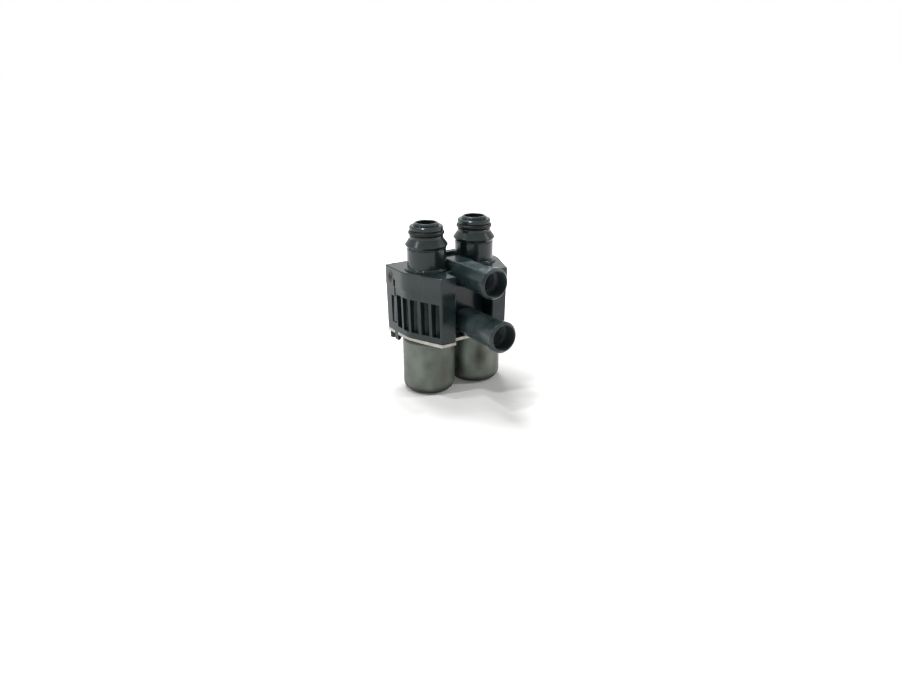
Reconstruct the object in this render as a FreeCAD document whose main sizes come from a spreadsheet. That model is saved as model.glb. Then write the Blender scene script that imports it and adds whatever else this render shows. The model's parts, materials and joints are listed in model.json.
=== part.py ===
import FreeCAD, Part
import os
import Sketcher
from FreeCAD import Vector

# Twin heater control valve, in millimetres, +Z up.
# The origin lies on the floor that the two solenoid cans stand on, midway between them.
# The two hose ports point along -Y, the two quick-connect stubs point along +Z.

doc = FreeCAD.newDocument("HeaterControlValve")
sheet = doc.addObject("Spreadsheet::Sheet", "Sizes")

driving_sizes = (
    # solenoid cans and the steel plate that they hang from
    ("valve_pitch", 41.1),
    ("can_radius", 19.0),
    ("can_wall", 1.2),
    ("can_height", 41.3),
    ("can_corner", 6.5),
    ("plate_thick", 2.2),
    # plan of the moulded body: a straight skirt below, a wider collar above
    ("skirt_height", 35.0),
    ("collar_height", 13.5),
    ("rear_y", 27.3),
    ("rear_half", 39.2),
    ("skirt_half", 39.1),
    ("skirt_corner_y", 2.4),
    ("collar_rear_half", 40.3),
    ("collar_half", 41.2),
    ("collar_corner_y", 0.5),
    ("front_half", 27.8),
    ("front_y", 29.8),
    ("collar_front_half", 28.3),
    ("collar_front_y", 30.4),
    ("recess_half", 15.4),
    ("recess_y", 17.0),
    ("plate_recess_y", 22.5),
    ("corner_round", 22.0),
    ("edge_round", 1.2),
    ("rim_round", 0.7),
    ("skin", 2.4),
    ("deck_thick", 3.0),
    # cooling slots of the skirt
    ("slot_count", 5),
    ("slot_pitch", 8.4),
    ("slot_width", 6.2),
    ("slot_sill", 4.5),
    ("slot_height", 24.7),
    ("slot_front_y", 27.7),
    # valve chambers inside the body
    ("chamber_radius", 11.0),
    ("chamber_step", 1.2),
    ("chamber_wall", 2.2),
    ("chamber_roof", 7.0),
    ("spine_half", 11.2),
    ("spine_rear", 12.0),
    ("gallery_radius", 5.4),
    ("riser_radius", 4.0),
    ("riser_y", 8.8),
    # quick-connect stubs, heights above the deck
    ("stub_back", 0.9),
    ("stub_bore", 7.0),
    ("stub_top", 33.3),
    ("stub_radius", 14.1),
    ("stub_foot_radius", 16.2),
    ("stub_foot_height", 1.0),
    ("lip_radius", 9.4),
    ("lip_height", 2.0),
    ("shoulder_radius", 12.1),
    ("shoulder_height", 3.0),
    ("ring_groove_radius", 9.35),
    ("ring_groove_height", 3.8),
    ("lower_shoulder_height", 2.4),
    ("barb_top_radius", 12.4),
    ("barb_radius", 15.24),
    ("barb_height", 4.0),
    ("barb_land", 0.5),
    ("barb_back", 2.0),
    ("neck_radius", 13.6),
    ("neck_height", 0.8),
    ("stub_ring_section", 1.78),
    # hose ports
    ("port_radius", 10.1),
    ("bead_radius", 11.2),
    ("bead_length", 3.4),
    ("bead_slope", 1.2),
    ("tip_drop", 0.4),
    ("mouth_radius", 9.3),
    ("mouth_depth", 0.4),
    ("mouth_bore", 8.9),
    ("mouth_length", 10.0),
    ("bore_cone", 1.4),
    ("upper_port_height", 46.2),
    ("upper_port_reach", 54.7),
    ("upper_port_bore", 6.8),
    ("upper_flat_height", 8.3),
    ("upper_port_rear", 1.0),
    ("lower_port_height", 10.6),
    ("lower_port_reach", 65.3),
    ("lower_port_bore", 8.0),
    # rear rail, deck slot, snap hooks and feet
    ("rail_half", 20.5),
    ("rail_front_y", 22.0),
    ("rail_height", 3.0),
    ("rail_groove_y", 24.6),
    ("rail_groove_width", 1.1),
    ("rail_groove_depth", 1.6),
    ("deck_slot_x", 34.4),
    ("deck_slot_y", 25.2),
    ("deck_slot_length", 3.6),
    ("deck_slot_width", 1.2),
    ("hook_y", 15.0),
    ("hook_width", 4.6),
    ("hook_window_front", 13.3),
    ("hook_window_rear", 19.7),
    ("hook_window_top", 27.2),
    ("hook_groove_front", 12.2),
    ("hook_groove_width", 2.6),
    ("hook_top", 40.3),
    ("hook_drop", 6.6),
    ("plate_gap", 0.1),
    ("hook_thick", 1.8),
    ("hook_nose", 2.2),
    ("hook_nose_height", 3.0),
    ("foot_x", 36.1),
    ("foot_y", 24.2),
    ("foot_radius", 2.7),
    ("foot_drop", 5.4),
    # cartridge that carries the valve seat
    ("cartridge_gap", 0.1),
    ("cartridge_wall", 2.4),
    ("cartridge_height", 22.0),
    ("cartridge_recess", 3.8),
    ("cartridge_floor", 2.7),
    ("cartridge_roof", 2.5),
    ("seat_bore", 6.2),
    ("seat_land", 1.2),
    ("seat_lip", 2.0),
    ("window_width", 11.0),
    ("window_height", 8.6),
    ("window_sill", 1.4),
    ("packing_section", 0.85),
    ("packing_groove", 1.75),
    ("packing_low", 4.4),
    ("packing_high", 19.6),
    # guide tube, fixed core and moving armature
    ("tube_radius", 6.0),
    ("tube_wall", 0.5),
    ("tube_rise", 3.5),
    ("collar_flange_radius", 8.0),
    ("collar_flange_thick", 1.0),
    ("tube_fit", 0.08),
    ("tube_seal_section", 1.4),
    ("core_height", 15.0),
    ("rivet_radius", 3.0),
    ("rivet_fit", 0.05),
    ("stroke", 3.4),
    ("end_gap", 0.3),
    ("stop_gap", 0.3),
    ("spring_pocket_radius", 3.3),
    ("spring_pocket_depth", 7.0),
    ("spring_radius", 2.45),
    ("spring_wire", 0.4),
    ("spring_turns", 6),
    # stem, valve disc and retaining washer
    ("stem_radius", 1.95),
    ("stem_fit", 0.06),
    ("stem_seat", 8.0),
    ("stem_press", 0.02),
    ("stem_collar_radius", 4.6),
    ("stem_collar_thick", 1.2),
    ("disc_radius", 7.8),
    ("disc_thick", 3.0),
    ("disc_gap", 0.3),
    ("washer_radius", 5.0),
    ("washer_thick", 0.8),
    ("stem_tip", 1.2),
    # coil bobbins and windings
    ("bobbin_fit", 0.2),
    ("bobbin_wall", 1.2),
    ("bobbin_flange", 1.6),
    ("coil_gap", 0.4),
    ("winding_radius", 16.0),
    ("winding_gap", 0.05),
    ("bobbin_rim", 1.4),
    ("bobbin_foot", 3.8),
    # coil pins and the stamped bars that join them to the connector
    ("pin_spread", 3.0),
    ("pin_y", 16.2),
    ("pin_width", 1.6),
    ("pin_thick", 0.8),
    ("pin_window", 0.6),
    ("bar_height", 15.5),
    ("bar_width", 1.8),
    ("bar_turn_y", 20.6),
    ("blade_pitch", 5.0),
    ("blade_end_y", 37.0),
    ("blade_press", 0.02),
    # connector at the rear
    ("socket_half", 10.0),
    ("socket_half_height", 5.6),
    ("socket_wall", 1.6),
    ("socket_rear_y", 42.0),
    ("socket_floor_y", 30.6),
    ("socket_front_y", 22.8),
    ("socket_fit", 0.25),
    ("flange_half", 13.0),
    ("flange_half_height", 8.4),
    ("flange_thick", 1.8),
    ("gasket_thick", 0.8),
    ("gasket_inset", 0.8),
    # screws that clamp the plate to the body's spine
    ("screw_x", 29.5),
    ("screw_y", 21.4),
    ("screw_middle_y", 14.6),
    ("screw_radius", 1.9),
    ("screw_hole_gap", 0.3),
    ("screw_length", 9.0),
    ("screw_head_radius", 3.2),
    ("screw_head_height", 2.0),
    ("screw_socket_radius", 1.5),
    ("screw_socket_depth", 1.2),
)

for row, (alias, number) in enumerate(driving_sizes, 1):
    sheet.set("A%d" % row, alias)
    sheet.set("B%d" % row, str(number))
    sheet.setAlias("B%d" % row, alias)
doc.recompute()


def named(text):
    """Turns plain size names into names that an expression of another object can read."""
    words = []
    word = ""
    for letter in text + " ":
        if letter.isalnum() or letter in "_.":
            word += letter
            continue
        words.append("Sizes." + word if word and word[0].isalpha() else word)
        words.append(letter)
        word = ""
    return "".join(words).strip()


def value(text):
    return float(sheet.evalExpression(named(text)))


def number_of(point):
    return tuple(value(part) for part in point)


def plane_of(body, role):
    return [feature for feature in body.Origin.OriginFeatures if feature.Role == role][0]


def bind(thing, **expressions):
    for prop, text in expressions.items():
        thing.setExpression(prop, named(text))


def new_body(label, x="0", y="0", z="0"):
    body = doc.addObject("PartDesign::Body", label)
    body.Label = label
    for axis, text in (("x", x), ("y", y), ("z", z)):
        body.setExpression("Placement.Base." + axis, named(text))
    return body


def new_sketch(body, name, role, shift=("0", "0", "0")):
    """A sketch on one of the body's own planes, shifted in the plane's own axes."""
    sketch = body.newObject("Sketcher::SketchObject", name)
    sketch.AttachmentSupport = [(plane_of(body, role), "")]
    sketch.MapMode = "FlatFace"
    for axis, text in zip("xyz", shift):
        sketch.setExpression("AttachmentOffset.Base." + axis, named(text))
    return sketch


def place_vertex(sketch, edge, vertex, point):
    """Ties one vertex to the sketch's axes, each distance by its own expression."""
    for axis, kind, text in zip((-2, -1), ("DistanceX", "DistanceY"), point):
        distance = value(text)
        if abs(distance) < 1e-7:
            sketch.addConstraint(Sketcher.Constraint("PointOnObject", edge, vertex, axis))
        else:
            tie = Sketcher.Constraint(kind, -1, 1, edge, vertex, distance)
            index = sketch.addConstraint(tie)
            sketch.setExpression("Constraints[%d]" % index, named(text))


def polygon(sketch, points):
    first = sketch.GeometryCount
    corners = [Vector(*number_of(point), 0) for point in points]
    count = len(corners)
    for index in range(count):
        line = Part.LineSegment(corners[index], corners[(index + 1) % count])
        sketch.addGeometry(line, False)
    for index in range(count):
        after = first + (index + 1) % count
        sketch.addConstraint(Sketcher.Constraint("Coincident", first + index, 2, after, 1))
    for index, point in enumerate(points):
        place_vertex(sketch, first + index, 1, point)


def rectangle(sketch, left, right, low, high):
    polygon(sketch, ((left, low), (right, low), (right, high), (left, high)))


def circle(sketch, x, y, radius):
    round_edge = Part.Circle(Vector(value(x), value(y), 0), Vector(0, 0, 1), value(radius))
    index = sketch.addGeometry(round_edge, False)
    place_vertex(sketch, index, 3, (x, y))
    tie = sketch.addConstraint(Sketcher.Constraint("Radius", index, value(radius)))
    sketch.setExpression("Constraints[%d]" % tie, named(radius))


def settled(feature, before, grows):
    """Recomputes and makes sure that the feature added or removed material."""
    doc.recompute()
    after = feature.Shape.Volume
    if (after <= before) if grows else (after >= before):
        raise RuntimeError(feature.Name + " changed nothing")
    return feature


def volume_of(body):
    return body.Tip.Shape.Volume if body.Tip and not body.Tip.Shape.isNull() else 0.0


def pad(body, name, sketch, length, reverse=False):
    before = volume_of(body)
    feature = body.newObject("PartDesign::Pad", name)
    feature.Profile = sketch
    feature.Reversed = reverse
    bind(feature, Length=length)
    return settled(feature, before, True)


def ordered(low, high):
    """Two expression texts, the smaller value first."""
    return sorted((low, high), key=value)


def pocket(body, name, sketch, length, reverse=False):
    before = volume_of(body)
    feature = body.newObject("PartDesign::Pocket", name)
    feature.Profile = sketch
    feature.Reversed = reverse
    bind(feature, Length=length)
    return settled(feature, before, False)


def turn(body, name, sketch, axis="V_Axis", cut=False):
    before = volume_of(body)
    feature = body.newObject("PartDesign::Groove" if cut else "PartDesign::Revolution", name)
    feature.Profile = sketch
    feature.ReferenceAxis = (sketch, [axis])
    feature.Angle = 360.0
    return settled(feature, before, not cut)


def mirror(body, name, feature):
    before = volume_of(body)
    copy = body.newObject("PartDesign::Mirrored", name)
    copy.Originals = [feature]
    copy.MirrorPlane = (plane_of(body, "YZ_Plane"), [""])
    body.Tip = copy
    grows = not feature.isDerivedFrom("PartDesign::Pocket")
    return settled(copy, before, grows)


def soften(body, name, radius, wanted, grows=False):
    """Rounds the edges of the body's tip that the test picks; a hollow corner gains material."""
    base = body.Tip
    picked = ["Edge%d" % (i + 1) for i, edge in enumerate(base.Shape.Edges) if wanted(edge)]
    feature = body.newObject("PartDesign::Fillet", name)
    feature.Base = (base, picked)
    bind(feature, Radius=radius)
    return settled(feature, base.Shape.Volume, grows)


def upright_at(edge, x, y):
    """True for a vertical edge at the given place in plan, on either side of the middle."""
    ends = edge.Vertexes
    if len(ends) != 2 or abs(ends[0].Z - ends[1].Z) < 1:
        return False
    return all(abs(abs(end.X) - x) < 0.02 and abs(end.Y - y) < 0.02 for end in ends)


def ring_at(edge, z, radius):
    curve = edge.Curve
    if not isinstance(curve, Part.Circle):
        return False
    return abs(curve.Center.z - z) < 0.01 and abs(curve.Radius - radius) < 0.01


def turned(label, profile, x="0", y="0"):
    """A body that is one turned profile of radius and height pairs."""
    body = new_body(label, x, y)
    sketch = new_sketch(body, label + "_profile", "XZ_Plane")
    polygon(sketch, profile)
    turn(body, label + "_turning", sketch)
    return body


def both_sides(half):
    """Closes a half outline, given from rear to front, with its mirror image."""
    return half + [("-(" + x + ")", y) for x, y in reversed(half)]


floor = "(can_height + plate_thick)"
body_height = "(skirt_height + collar_height)"
deck = "(can_height + plate_thick + skirt_height + collar_height)"
valve_x = "(valve_pitch / 2)"


# The body is one moulding: a ribbed skirt with cooling slots, a wider collar with the deck,
# two valve towers on a spine, two hose ports and two quick-connect stubs.

skirt_corners = [
    ("rear_half", "rear_y"),
    ("skirt_half", "-skirt_corner_y"),
    ("front_half", "-front_y"),
    ("recess_half", "-front_y"),
]
collar_corners = [
    ("collar_rear_half", "rear_y"),
    ("collar_half", "-collar_corner_y"),
    ("collar_front_half", "-collar_front_y"),
    ("recess_half", "-collar_front_y"),
]


def rounded_storey(body, name, low, rise, corners, recess):
    """One storey of the outline, padded and then rounded at its upright edges."""
    sketch = new_sketch(body, name + "_plan", "XY_Plane", ("0", "0", low))
    polygon(sketch, both_sides(corners + [("recess_half", "-" + recess)]))
    pad(body, name, sketch, rise)
    rear, side, front, nook = [number_of(corner) for corner in corners]
    soften(body, name + "_side_corners", "corner_round", lambda edge: upright_at(edge, *side))
    soften(body, name + "_corners", "edge_round",
           lambda edge: any(upright_at(edge, *xy) for xy in (rear, front, nook)))


def outer_shell(body):
    rounded_storey(body, "skirt", floor, "skirt_height", skirt_corners, "recess_y")
    rounded_storey(body, "collar", floor + " + skirt_height", "collar_height", collar_corners, "recess_y")
    top = value(deck)
    soften(body, "deck_rim", "rim_round",
           lambda edge: all(abs(end.Z - top) < 0.01 for end in edge.Vertexes))


def hollow_inside(body):
    sketch = new_sketch(body, "hollow_plan", "XY_Plane", ("0", "0", floor))
    polygon(sketch, both_sides([
        ("rear_half - skin", "rear_y - skin"),
        ("skirt_half - skin", "-skirt_corner_y"),
        ("front_half - skin * 1.3", "skin - front_y"),
        ("recess_half + skin", "skin - front_y"),
        ("recess_half + skin", "skin - recess_y"),
    ]))
    pocket(body, "hollow", sketch, body_height + " - deck_thick", reverse=True)


def cooling_slots(body):
    """A row of slots cut along X through each side wall, then mirrored."""
    sketch = new_sketch(body, "slot_face", "YZ_Plane", ("0", "0", "collar_half + skin"))
    sill = floor + " + slot_sill"
    rectangle(sketch, "-slot_front_y", "slot_width - slot_front_y", sill, sill + " + slot_height")
    first = pocket(body, "slot", sketch, "collar_half - recess_half - skin")
    rows = body.newObject("PartDesign::MultiTransform", "slot_rows")
    rows.Originals = [first]
    row = body.newObject("PartDesign::LinearPattern", "slot_row")
    row.Direction = (plane_of(body, "XZ_Plane"), [""])
    row.Reversed = True
    row.Mode = "Spacing"
    bind(row, Offset="slot_pitch", Occurrences="slot_count")
    sides = body.newObject("PartDesign::Mirrored", "slot_sides")
    sides.MirrorPlane = (plane_of(body, "YZ_Plane"), [""])
    rows.Transformations = [row, sides]
    body.Tip = rows
    settled(rows, first.Shape.Volume, False)


def hook_windows(body):
    sketch = new_sketch(body, "hook_window_face", "YZ_Plane", ("0", "0", "collar_half + skin"))
    polygon(sketch, [
        ("hook_window_front", floor + " + hook_drop"),
        ("hook_window_rear", floor + " + hook_drop"),
        ("hook_window_rear", floor + " + hook_window_top"),
        ("hook_groove_front + hook_groove_width", floor + " + hook_window_top"),
        ("hook_groove_front + hook_groove_width", floor + " + hook_top"),
        ("hook_groove_front", floor + " + hook_top"),
        ("hook_groove_front", floor + " + skirt_height"),
        ("hook_window_front", floor + " + skirt_height"),
    ])
    window = pocket(body, "hook_window", sketch, "collar_half - skirt_half + 3 * skin")
    mirror(body, "hook_window_other", window)


def inner_structure(body):
    """Towers round the valve chambers, a spine between them, ribs behind the bars, screw bosses."""
    sketch = new_sketch(body, "tower_plan", "XY_Plane", ("0", "0", floor))
    for side in ("", "-"):
        circle(sketch, side + valve_x, "0", "chamber_radius + chamber_wall")
    rise = body_height + " - deck_thick / 2"
    pad(body, "towers", sketch, rise)
    sketch = new_sketch(body, "spine_plan", "XY_Plane", ("0", "0", floor))
    rectangle(sketch, "-spine_half", "spine_half", "skin / 2 - recess_y", "spine_rear")
    pad(body, "spine", sketch, rise)
    sketch = new_sketch(body, "rib_plan", "XY_Plane", ("0", "0", floor + " + slot_sill / 2"))
    slope = "(skirt_half - front_half) / (front_y - skirt_corner_y)"
    for bar in range(1, int(value("slot_count"))):
        low = "(slot_width - slot_front_y + slot_pitch * %d)" % (bar - 1)
        high = "(" + low + " + slot_pitch - slot_width)"
        run = "(-" + low + " - skirt_corner_y)"
        outer = "(skirt_half - skin / 2 - " + run + " * " + slope + ")"
        if value(run) < 0:
            outer = "(skirt_half - skin / 2)"
        inner = "(recess_half + skin / 2)" if value(high) < value("-recess_y") else valve_x
        for side in ("", "-"):
            rectangle(sketch, *ordered(side + inner, side + outer), low, high)
    pad(body, "ribs", sketch, body_height + " - slot_sill / 2 - deck_thick / 2")
    sketch = new_sketch(body, "boss_plan", "XY_Plane", ("0", "0", floor))
    for x, y in screw_places:
        circle(sketch, x, y, "screw_radius + skin")
    pad(body, "screw_bosses", sketch, "screw_length + skin")


def port_profile(rear, reach, root_y, root_radius):
    """Half section of a hose port: y along the pipe, then radius, from the tip back to the rear."""
    tip = "-" + reach
    return [
        (tip, "0"),
        (tip, "port_radius - tip_drop"),
        (tip + " + tip_drop", "port_radius"),
        (tip + " + tip_drop + bead_slope", "bead_radius"),
        (tip + " + tip_drop + bead_slope + bead_length", "bead_radius"),
        (tip + " + tip_drop + 2 * bead_slope + bead_length", "port_radius"),
        (root_y, "port_radius"),
        ("-recess_y", root_radius),
        (rear, root_radius),
        (rear, "0"),
    ]


def hose_ports(body):
    height = floor + " + upper_port_height"
    sketch = new_sketch(body, "upper_port_section", "YZ_Plane", ("0", height, "0"))
    polygon(sketch, port_profile(
        "-upper_port_rear", "upper_port_reach", "-recess_y - skin", "port_radius + rim_round"))
    turn(body, "upper_port", sketch, "H_Axis")
    sketch = new_sketch(body, "upper_flat_plan", "XY_Plane", ("0", "0", height + " + upper_flat_height"))
    front = "mouth_length + skin - upper_port_reach"
    rectangle(sketch, "-bead_radius", "bead_radius", front, "rim_round")
    pocket(body, "upper_flat", sketch, "bead_radius", reverse=True)
    sketch = new_sketch(body, "lower_port_section", "YZ_Plane", ("0", floor + " + lower_port_height", "0"))
    polygon(sketch, port_profile(
        "-gallery_radius", "lower_port_reach", "-recess_y - skin", "(lower_port_height - plate_gap)"))
    turn(body, "lower_port", sketch, "H_Axis")


def stub_profile():
    """Half section of a quick-connect stub: radius, then height above the deck."""
    groove_top = "(stub_top - shoulder_height - lip_height)"
    groove_low = "(" + groove_top + " - ring_groove_height)"
    barb_top = "(" + groove_low + " - lower_shoulder_height)"
    barb_edge = "(" + barb_top + " - barb_height)"
    neck_top = "(" + barb_edge + " - barb_land - barb_back)"
    return [
        ("0", "-deck_thick / 2"),
        ("stub_foot_radius", "-deck_thick / 2"),
        ("stub_foot_radius", "stub_foot_height - rim_round / 2"),
        ("stub_foot_radius - rim_round / 2", "stub_foot_height"),
        ("stub_radius + rim_round", "stub_foot_height"),
        ("stub_radius", "stub_foot_height + rim_round"),
        ("stub_radius", neck_top + " - neck_height"),
        ("neck_radius", neck_top + " - neck_height"),
        ("neck_radius", neck_top),
        ("stub_radius", neck_top),
        ("barb_radius", barb_edge + " - barb_land"),
        ("barb_radius", barb_edge),
        ("barb_top_radius", barb_top),
        ("shoulder_radius", barb_top),
        ("shoulder_radius", groove_low),
        ("ring_groove_radius", groove_low),
        ("ring_groove_radius", groove_top),
        ("shoulder_radius", groove_top),
        ("shoulder_radius", "stub_top - lip_height - rim_round"),
        ("shoulder_radius - rim_round", "stub_top - lip_height"),
        ("lip_radius - rim_round / 2", "stub_top - lip_height"),
        ("lip_radius", "stub_top - lip_height + rim_round"),
        ("stub_bore + rim_round", "stub_top"),
        ("0", "stub_top"),
    ]


def stubs(body):
    for side, word in ((-1, "left"), (1, "right")):
        shift = ("%d * %s" % (side, valve_x), deck, "-stub_back")
        sketch = new_sketch(body, word + "_stub_section", "XZ_Plane", shift)
        polygon(sketch, stub_profile())
        turn(body, word + "_stub", sketch)


def deck_details(body):
    sketch = new_sketch(body, "rail_plan", "XY_Plane", ("0", "0", deck + " - rim_round"))
    rectangle(sketch, "-rail_half", "rail_half", "rail_front_y", "rear_y")
    pad(body, "rear_rail", sketch, "rail_height + rim_round")
    sketch = new_sketch(body, "rail_groove_plan", "XY_Plane", ("0", "0", deck + " + rail_height"))
    rectangle(sketch, "-rail_half - skin", "rail_half + skin",
              "rail_groove_y", "rail_groove_y + rail_groove_width")
    pocket(body, "rail_groove", sketch, "rail_groove_depth")
    sketch = new_sketch(body, "deck_slot_plan", "XY_Plane", ("0", "0", deck))
    for side in ("", "-"):
        near = side + "(deck_slot_x - deck_slot_length / 2)"
        far = side + "(deck_slot_x + deck_slot_length / 2)"
        rectangle(sketch, *ordered(near, far),
                  "deck_slot_y - deck_slot_width / 2", "deck_slot_y + deck_slot_width / 2")
    pocket(body, "deck_slots", sketch, "2 * deck_thick")


def hooks_and_feet(body):
    """Snap hooks that grip the plate's side edges, and posts that stand through its rear corners."""
    inner = "(skirt_half - hook_thick)"
    grip = "(can_height - plate_gap)"
    low = "(" + floor + " - hook_drop)"
    for sign, word in (("", "right"), ("-", "left")):
        shift = ("0", "0", "-hook_y - hook_width / 2")
        sketch = new_sketch(body, word + "_hook_section", "XZ_Plane", shift)
        polygon(sketch, [
            (sign + "skirt_half", floor + " + slot_sill"),
            (sign + "skirt_half", low),
            (sign + inner, low),
            (sign + "(skirt_half - hook_thick - hook_nose)", grip + " - hook_nose_height / 3"),
            (sign + "(skirt_half - hook_thick - hook_nose)", grip),
            (sign + inner, grip),
            (sign + inner, floor + " + slot_sill"),
        ])
        pad(body, word + "_hook", sketch, "hook_width")
    sketch = new_sketch(body, "foot_plan", "XY_Plane", ("0", "0", floor + " + slot_sill"))
    for side in ("", "-"):
        circle(sketch, side + "foot_x", "foot_y", "foot_radius")
    pad(body, "feet", sketch, "slot_sill + plate_thick + foot_drop", reverse=True)
    low_end = value(floor + " - plate_thick - foot_drop")
    soften(body, "foot_ends", "rim_round", lambda edge: ring_at(edge, low_end, value("foot_radius")))


def connector_window(body):
    sketch = new_sketch(body, "connector_window_face", "XZ_Plane", ("0", "0", "-rear_y - skin"))
    half = "(socket_half + socket_fit)"
    tall = "(socket_half_height + socket_fit)"
    middle = "(" + floor + " + bar_height)"
    rectangle(sketch, "-" + half, half, middle + " - " + tall, middle + " + " + tall)
    pocket(body, "connector_window", sketch, "3 * skin", reverse=True)


def mouth_profile(reach, bore):
    """Half section of a port's widened mouth: a broken edge, a wide bore, a cone down to the bore."""
    tip = "-" + reach
    return [
        (tip + " - 1", "0"),
        (tip + " - 1", "mouth_radius"),
        (tip, "mouth_radius"),
        (tip + " + mouth_depth", "mouth_bore"),
        (tip + " + mouth_length", "mouth_bore"),
        (tip + " + mouth_length + bore_cone", bore),
    ]


def chambers_and_bores(body):
    for side, word in ((-1, "left"), (1, "right")):
        across = "%d * %s" % (side, valve_x)
        sketch = new_sketch(body, word + "_chamber_section", "XZ_Plane", (across, floor, "0"))
        step = "(cartridge_height + cartridge_gap)"
        top = "(" + body_height + " - chamber_roof)"
        polygon(sketch, [
            ("0", "-1"),
            ("chamber_radius", "-1"),
            ("chamber_radius", step),
            ("chamber_radius - chamber_step", step),
            ("chamber_radius - chamber_step", top),
            ("0", top),
        ])
        turn(body, word + "_chamber", sketch, cut=True)
        sketch = new_sketch(body, word + "_stub_bore_section", "XZ_Plane", (across, deck, "-stub_back"))
        polygon(sketch, [
            ("0", "-chamber_roof - 1"),
            ("stub_bore", "-chamber_roof - 1"),
            ("stub_bore", "stub_top + 1"),
            ("0", "stub_top + 1"),
        ])
        turn(body, word + "_stub_bore", sketch, cut=True)
    sketch = new_sketch(body, "upper_bore_section", "YZ_Plane", ("0", floor + " + upper_port_height", "0"))
    polygon(sketch, mouth_profile("upper_port_reach", "upper_port_bore") + [
        ("-upper_port_rear - skin", "upper_port_bore"),
        ("-upper_port_rear - skin", "0"),
    ])
    turn(body, "upper_bore", sketch, "H_Axis", cut=True)
    sketch = new_sketch(body, "lower_bore_section", "YZ_Plane", ("0", floor + " + lower_port_height", "0"))
    polygon(sketch, mouth_profile("lower_port_reach", "lower_port_bore") + [
        ("-gallery_radius - riser_radius", "lower_port_bore"),
        ("-gallery_radius - riser_radius + bore_cone", "gallery_radius"),
        ("0", "gallery_radius"),
        ("0", "0"),
    ])
    turn(body, "lower_bore", sketch, "H_Axis", cut=True)
    sketch = new_sketch(body, "gallery_section", "XZ_Plane", ("0", floor + " + lower_port_height", "0"))
    polygon(sketch, [
        ("-" + valve_x, "0"),
        ("-" + valve_x, "gallery_radius"),
        (valve_x, "gallery_radius"),
        (valve_x, "0"),
    ])
    turn(body, "gallery", sketch, "H_Axis", cut=True)
    sketch = new_sketch(body, "riser_plan", "XY_Plane", ("0", "0", floor + " + lower_port_height"))
    circle(sketch, "0", "-riser_y", "riser_radius")
    pocket(body, "riser", sketch, "upper_port_height - lower_port_height", reverse=True)
    sketch = new_sketch(body, "pilot_plan", "XY_Plane", ("0", "0", floor))
    for x, y in screw_places:
        circle(sketch, x, y, "screw_radius + stem_press")
    pocket(body, "pilot_holes", sketch, "screw_length", reverse=True)


screw_places = (
    ("screw_x", "screw_y"),
    ("-screw_x", "screw_y"),
    ("0", "screw_middle_y"),
)


def make_valve_body():
    body = new_body("valve_body")
    outer_shell(body)
    hollow_inside(body)
    cooling_slots(body)
    hook_windows(body)
    inner_structure(body)
    hose_ports(body)
    stubs(body)
    deck_details(body)
    hooks_and_feet(body)
    connector_window(body)
    chambers_and_bores(body)
    return body


def make_yoke_plate():
    body = new_body("yoke_plate", z="can_height")
    rounded_storey(body, "plate", "0", "plate_thick", skirt_corners, "plate_recess_y")
    for name, places, radius in (
        ("tube_holes", ((valve_x, "0"), ("-" + valve_x, "0")), "tube_radius + plate_gap"),
        ("screw_holes", screw_places, "screw_radius + screw_hole_gap"),
        ("foot_holes", (("foot_x", "foot_y"), ("-foot_x", "foot_y")), "foot_radius + plate_gap"),
    ):
        sketch = new_sketch(body, name + "_plan", "XY_Plane", ("0", "0", "plate_thick"))
        for x, y in places:
            circle(sketch, x, y, radius)
        pocket(body, name, sketch, "2 * plate_thick")
    sketch = new_sketch(body, "plate_window_plan", "XY_Plane", ("0", "0", "plate_thick"))
    reach = "(pin_spread + pin_width / 2 + pin_window)"
    deep = "(pin_thick / 2 + pin_window)"
    grip = "(skirt_half - hook_thick - plate_gap)"
    half = "(hook_width / 2 + plate_gap)"
    for side in ("-", ""):
        middle = side + valve_x
        rectangle(sketch, middle + " - " + reach, middle + " + " + reach,
                  "pin_y - " + deep, "pin_y + " + deep)
        rectangle(sketch, *ordered(side + grip, side + "(skirt_half + skin)"),
                  "hook_y - " + half, "hook_y + " + half)
    pocket(body, "plate_windows", sketch, "2 * plate_thick")
    return body


def make_plate_screws():
    """Thread-forming screws with sunk hexagon drives, heads under the plate."""
    screws = []
    for number, (x, y) in enumerate(screw_places):
        name = "screw_%d" % number
        screw = turned(name, [
            ("0", "-screw_head_height"),
            ("screw_head_radius - rim_round / 2", "-screw_head_height"),
            ("screw_head_radius", "rim_round / 2 - screw_head_height"),
            ("screw_head_radius", "0"),
            ("screw_radius", "0"),
            ("screw_radius", "plate_thick + screw_length - rim_round"),
            ("screw_radius - rim_round", "plate_thick + screw_length - rim_round / 2"),
            ("0", "plate_thick + screw_length - rim_round / 2"),
        ], x, y)
        screw.setExpression("Placement.Base.z", named("can_height"))
        sketch = new_sketch(screw, name + "_drive_plan", "XY_Plane", ("0", "0", "-screw_head_height"))
        root = "(screw_socket_radius * 0.8660254)"
        across = "(screw_socket_radius / 2)"
        polygon(sketch, [
            ("screw_socket_radius", "0"), (across, root), ("-" + across, root),
            ("-screw_socket_radius", "0"), ("-" + across, "-" + root), (across, "-" + root),
        ])
        pocket(screw, name + "_drive", sketch, "screw_socket_depth", reverse=True)
        screws.append(screw)
    group = doc.addObject("Part::Compound", "plate_screws")
    group.Label = "plate_screws"
    group.Links = screws
    return group


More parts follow.
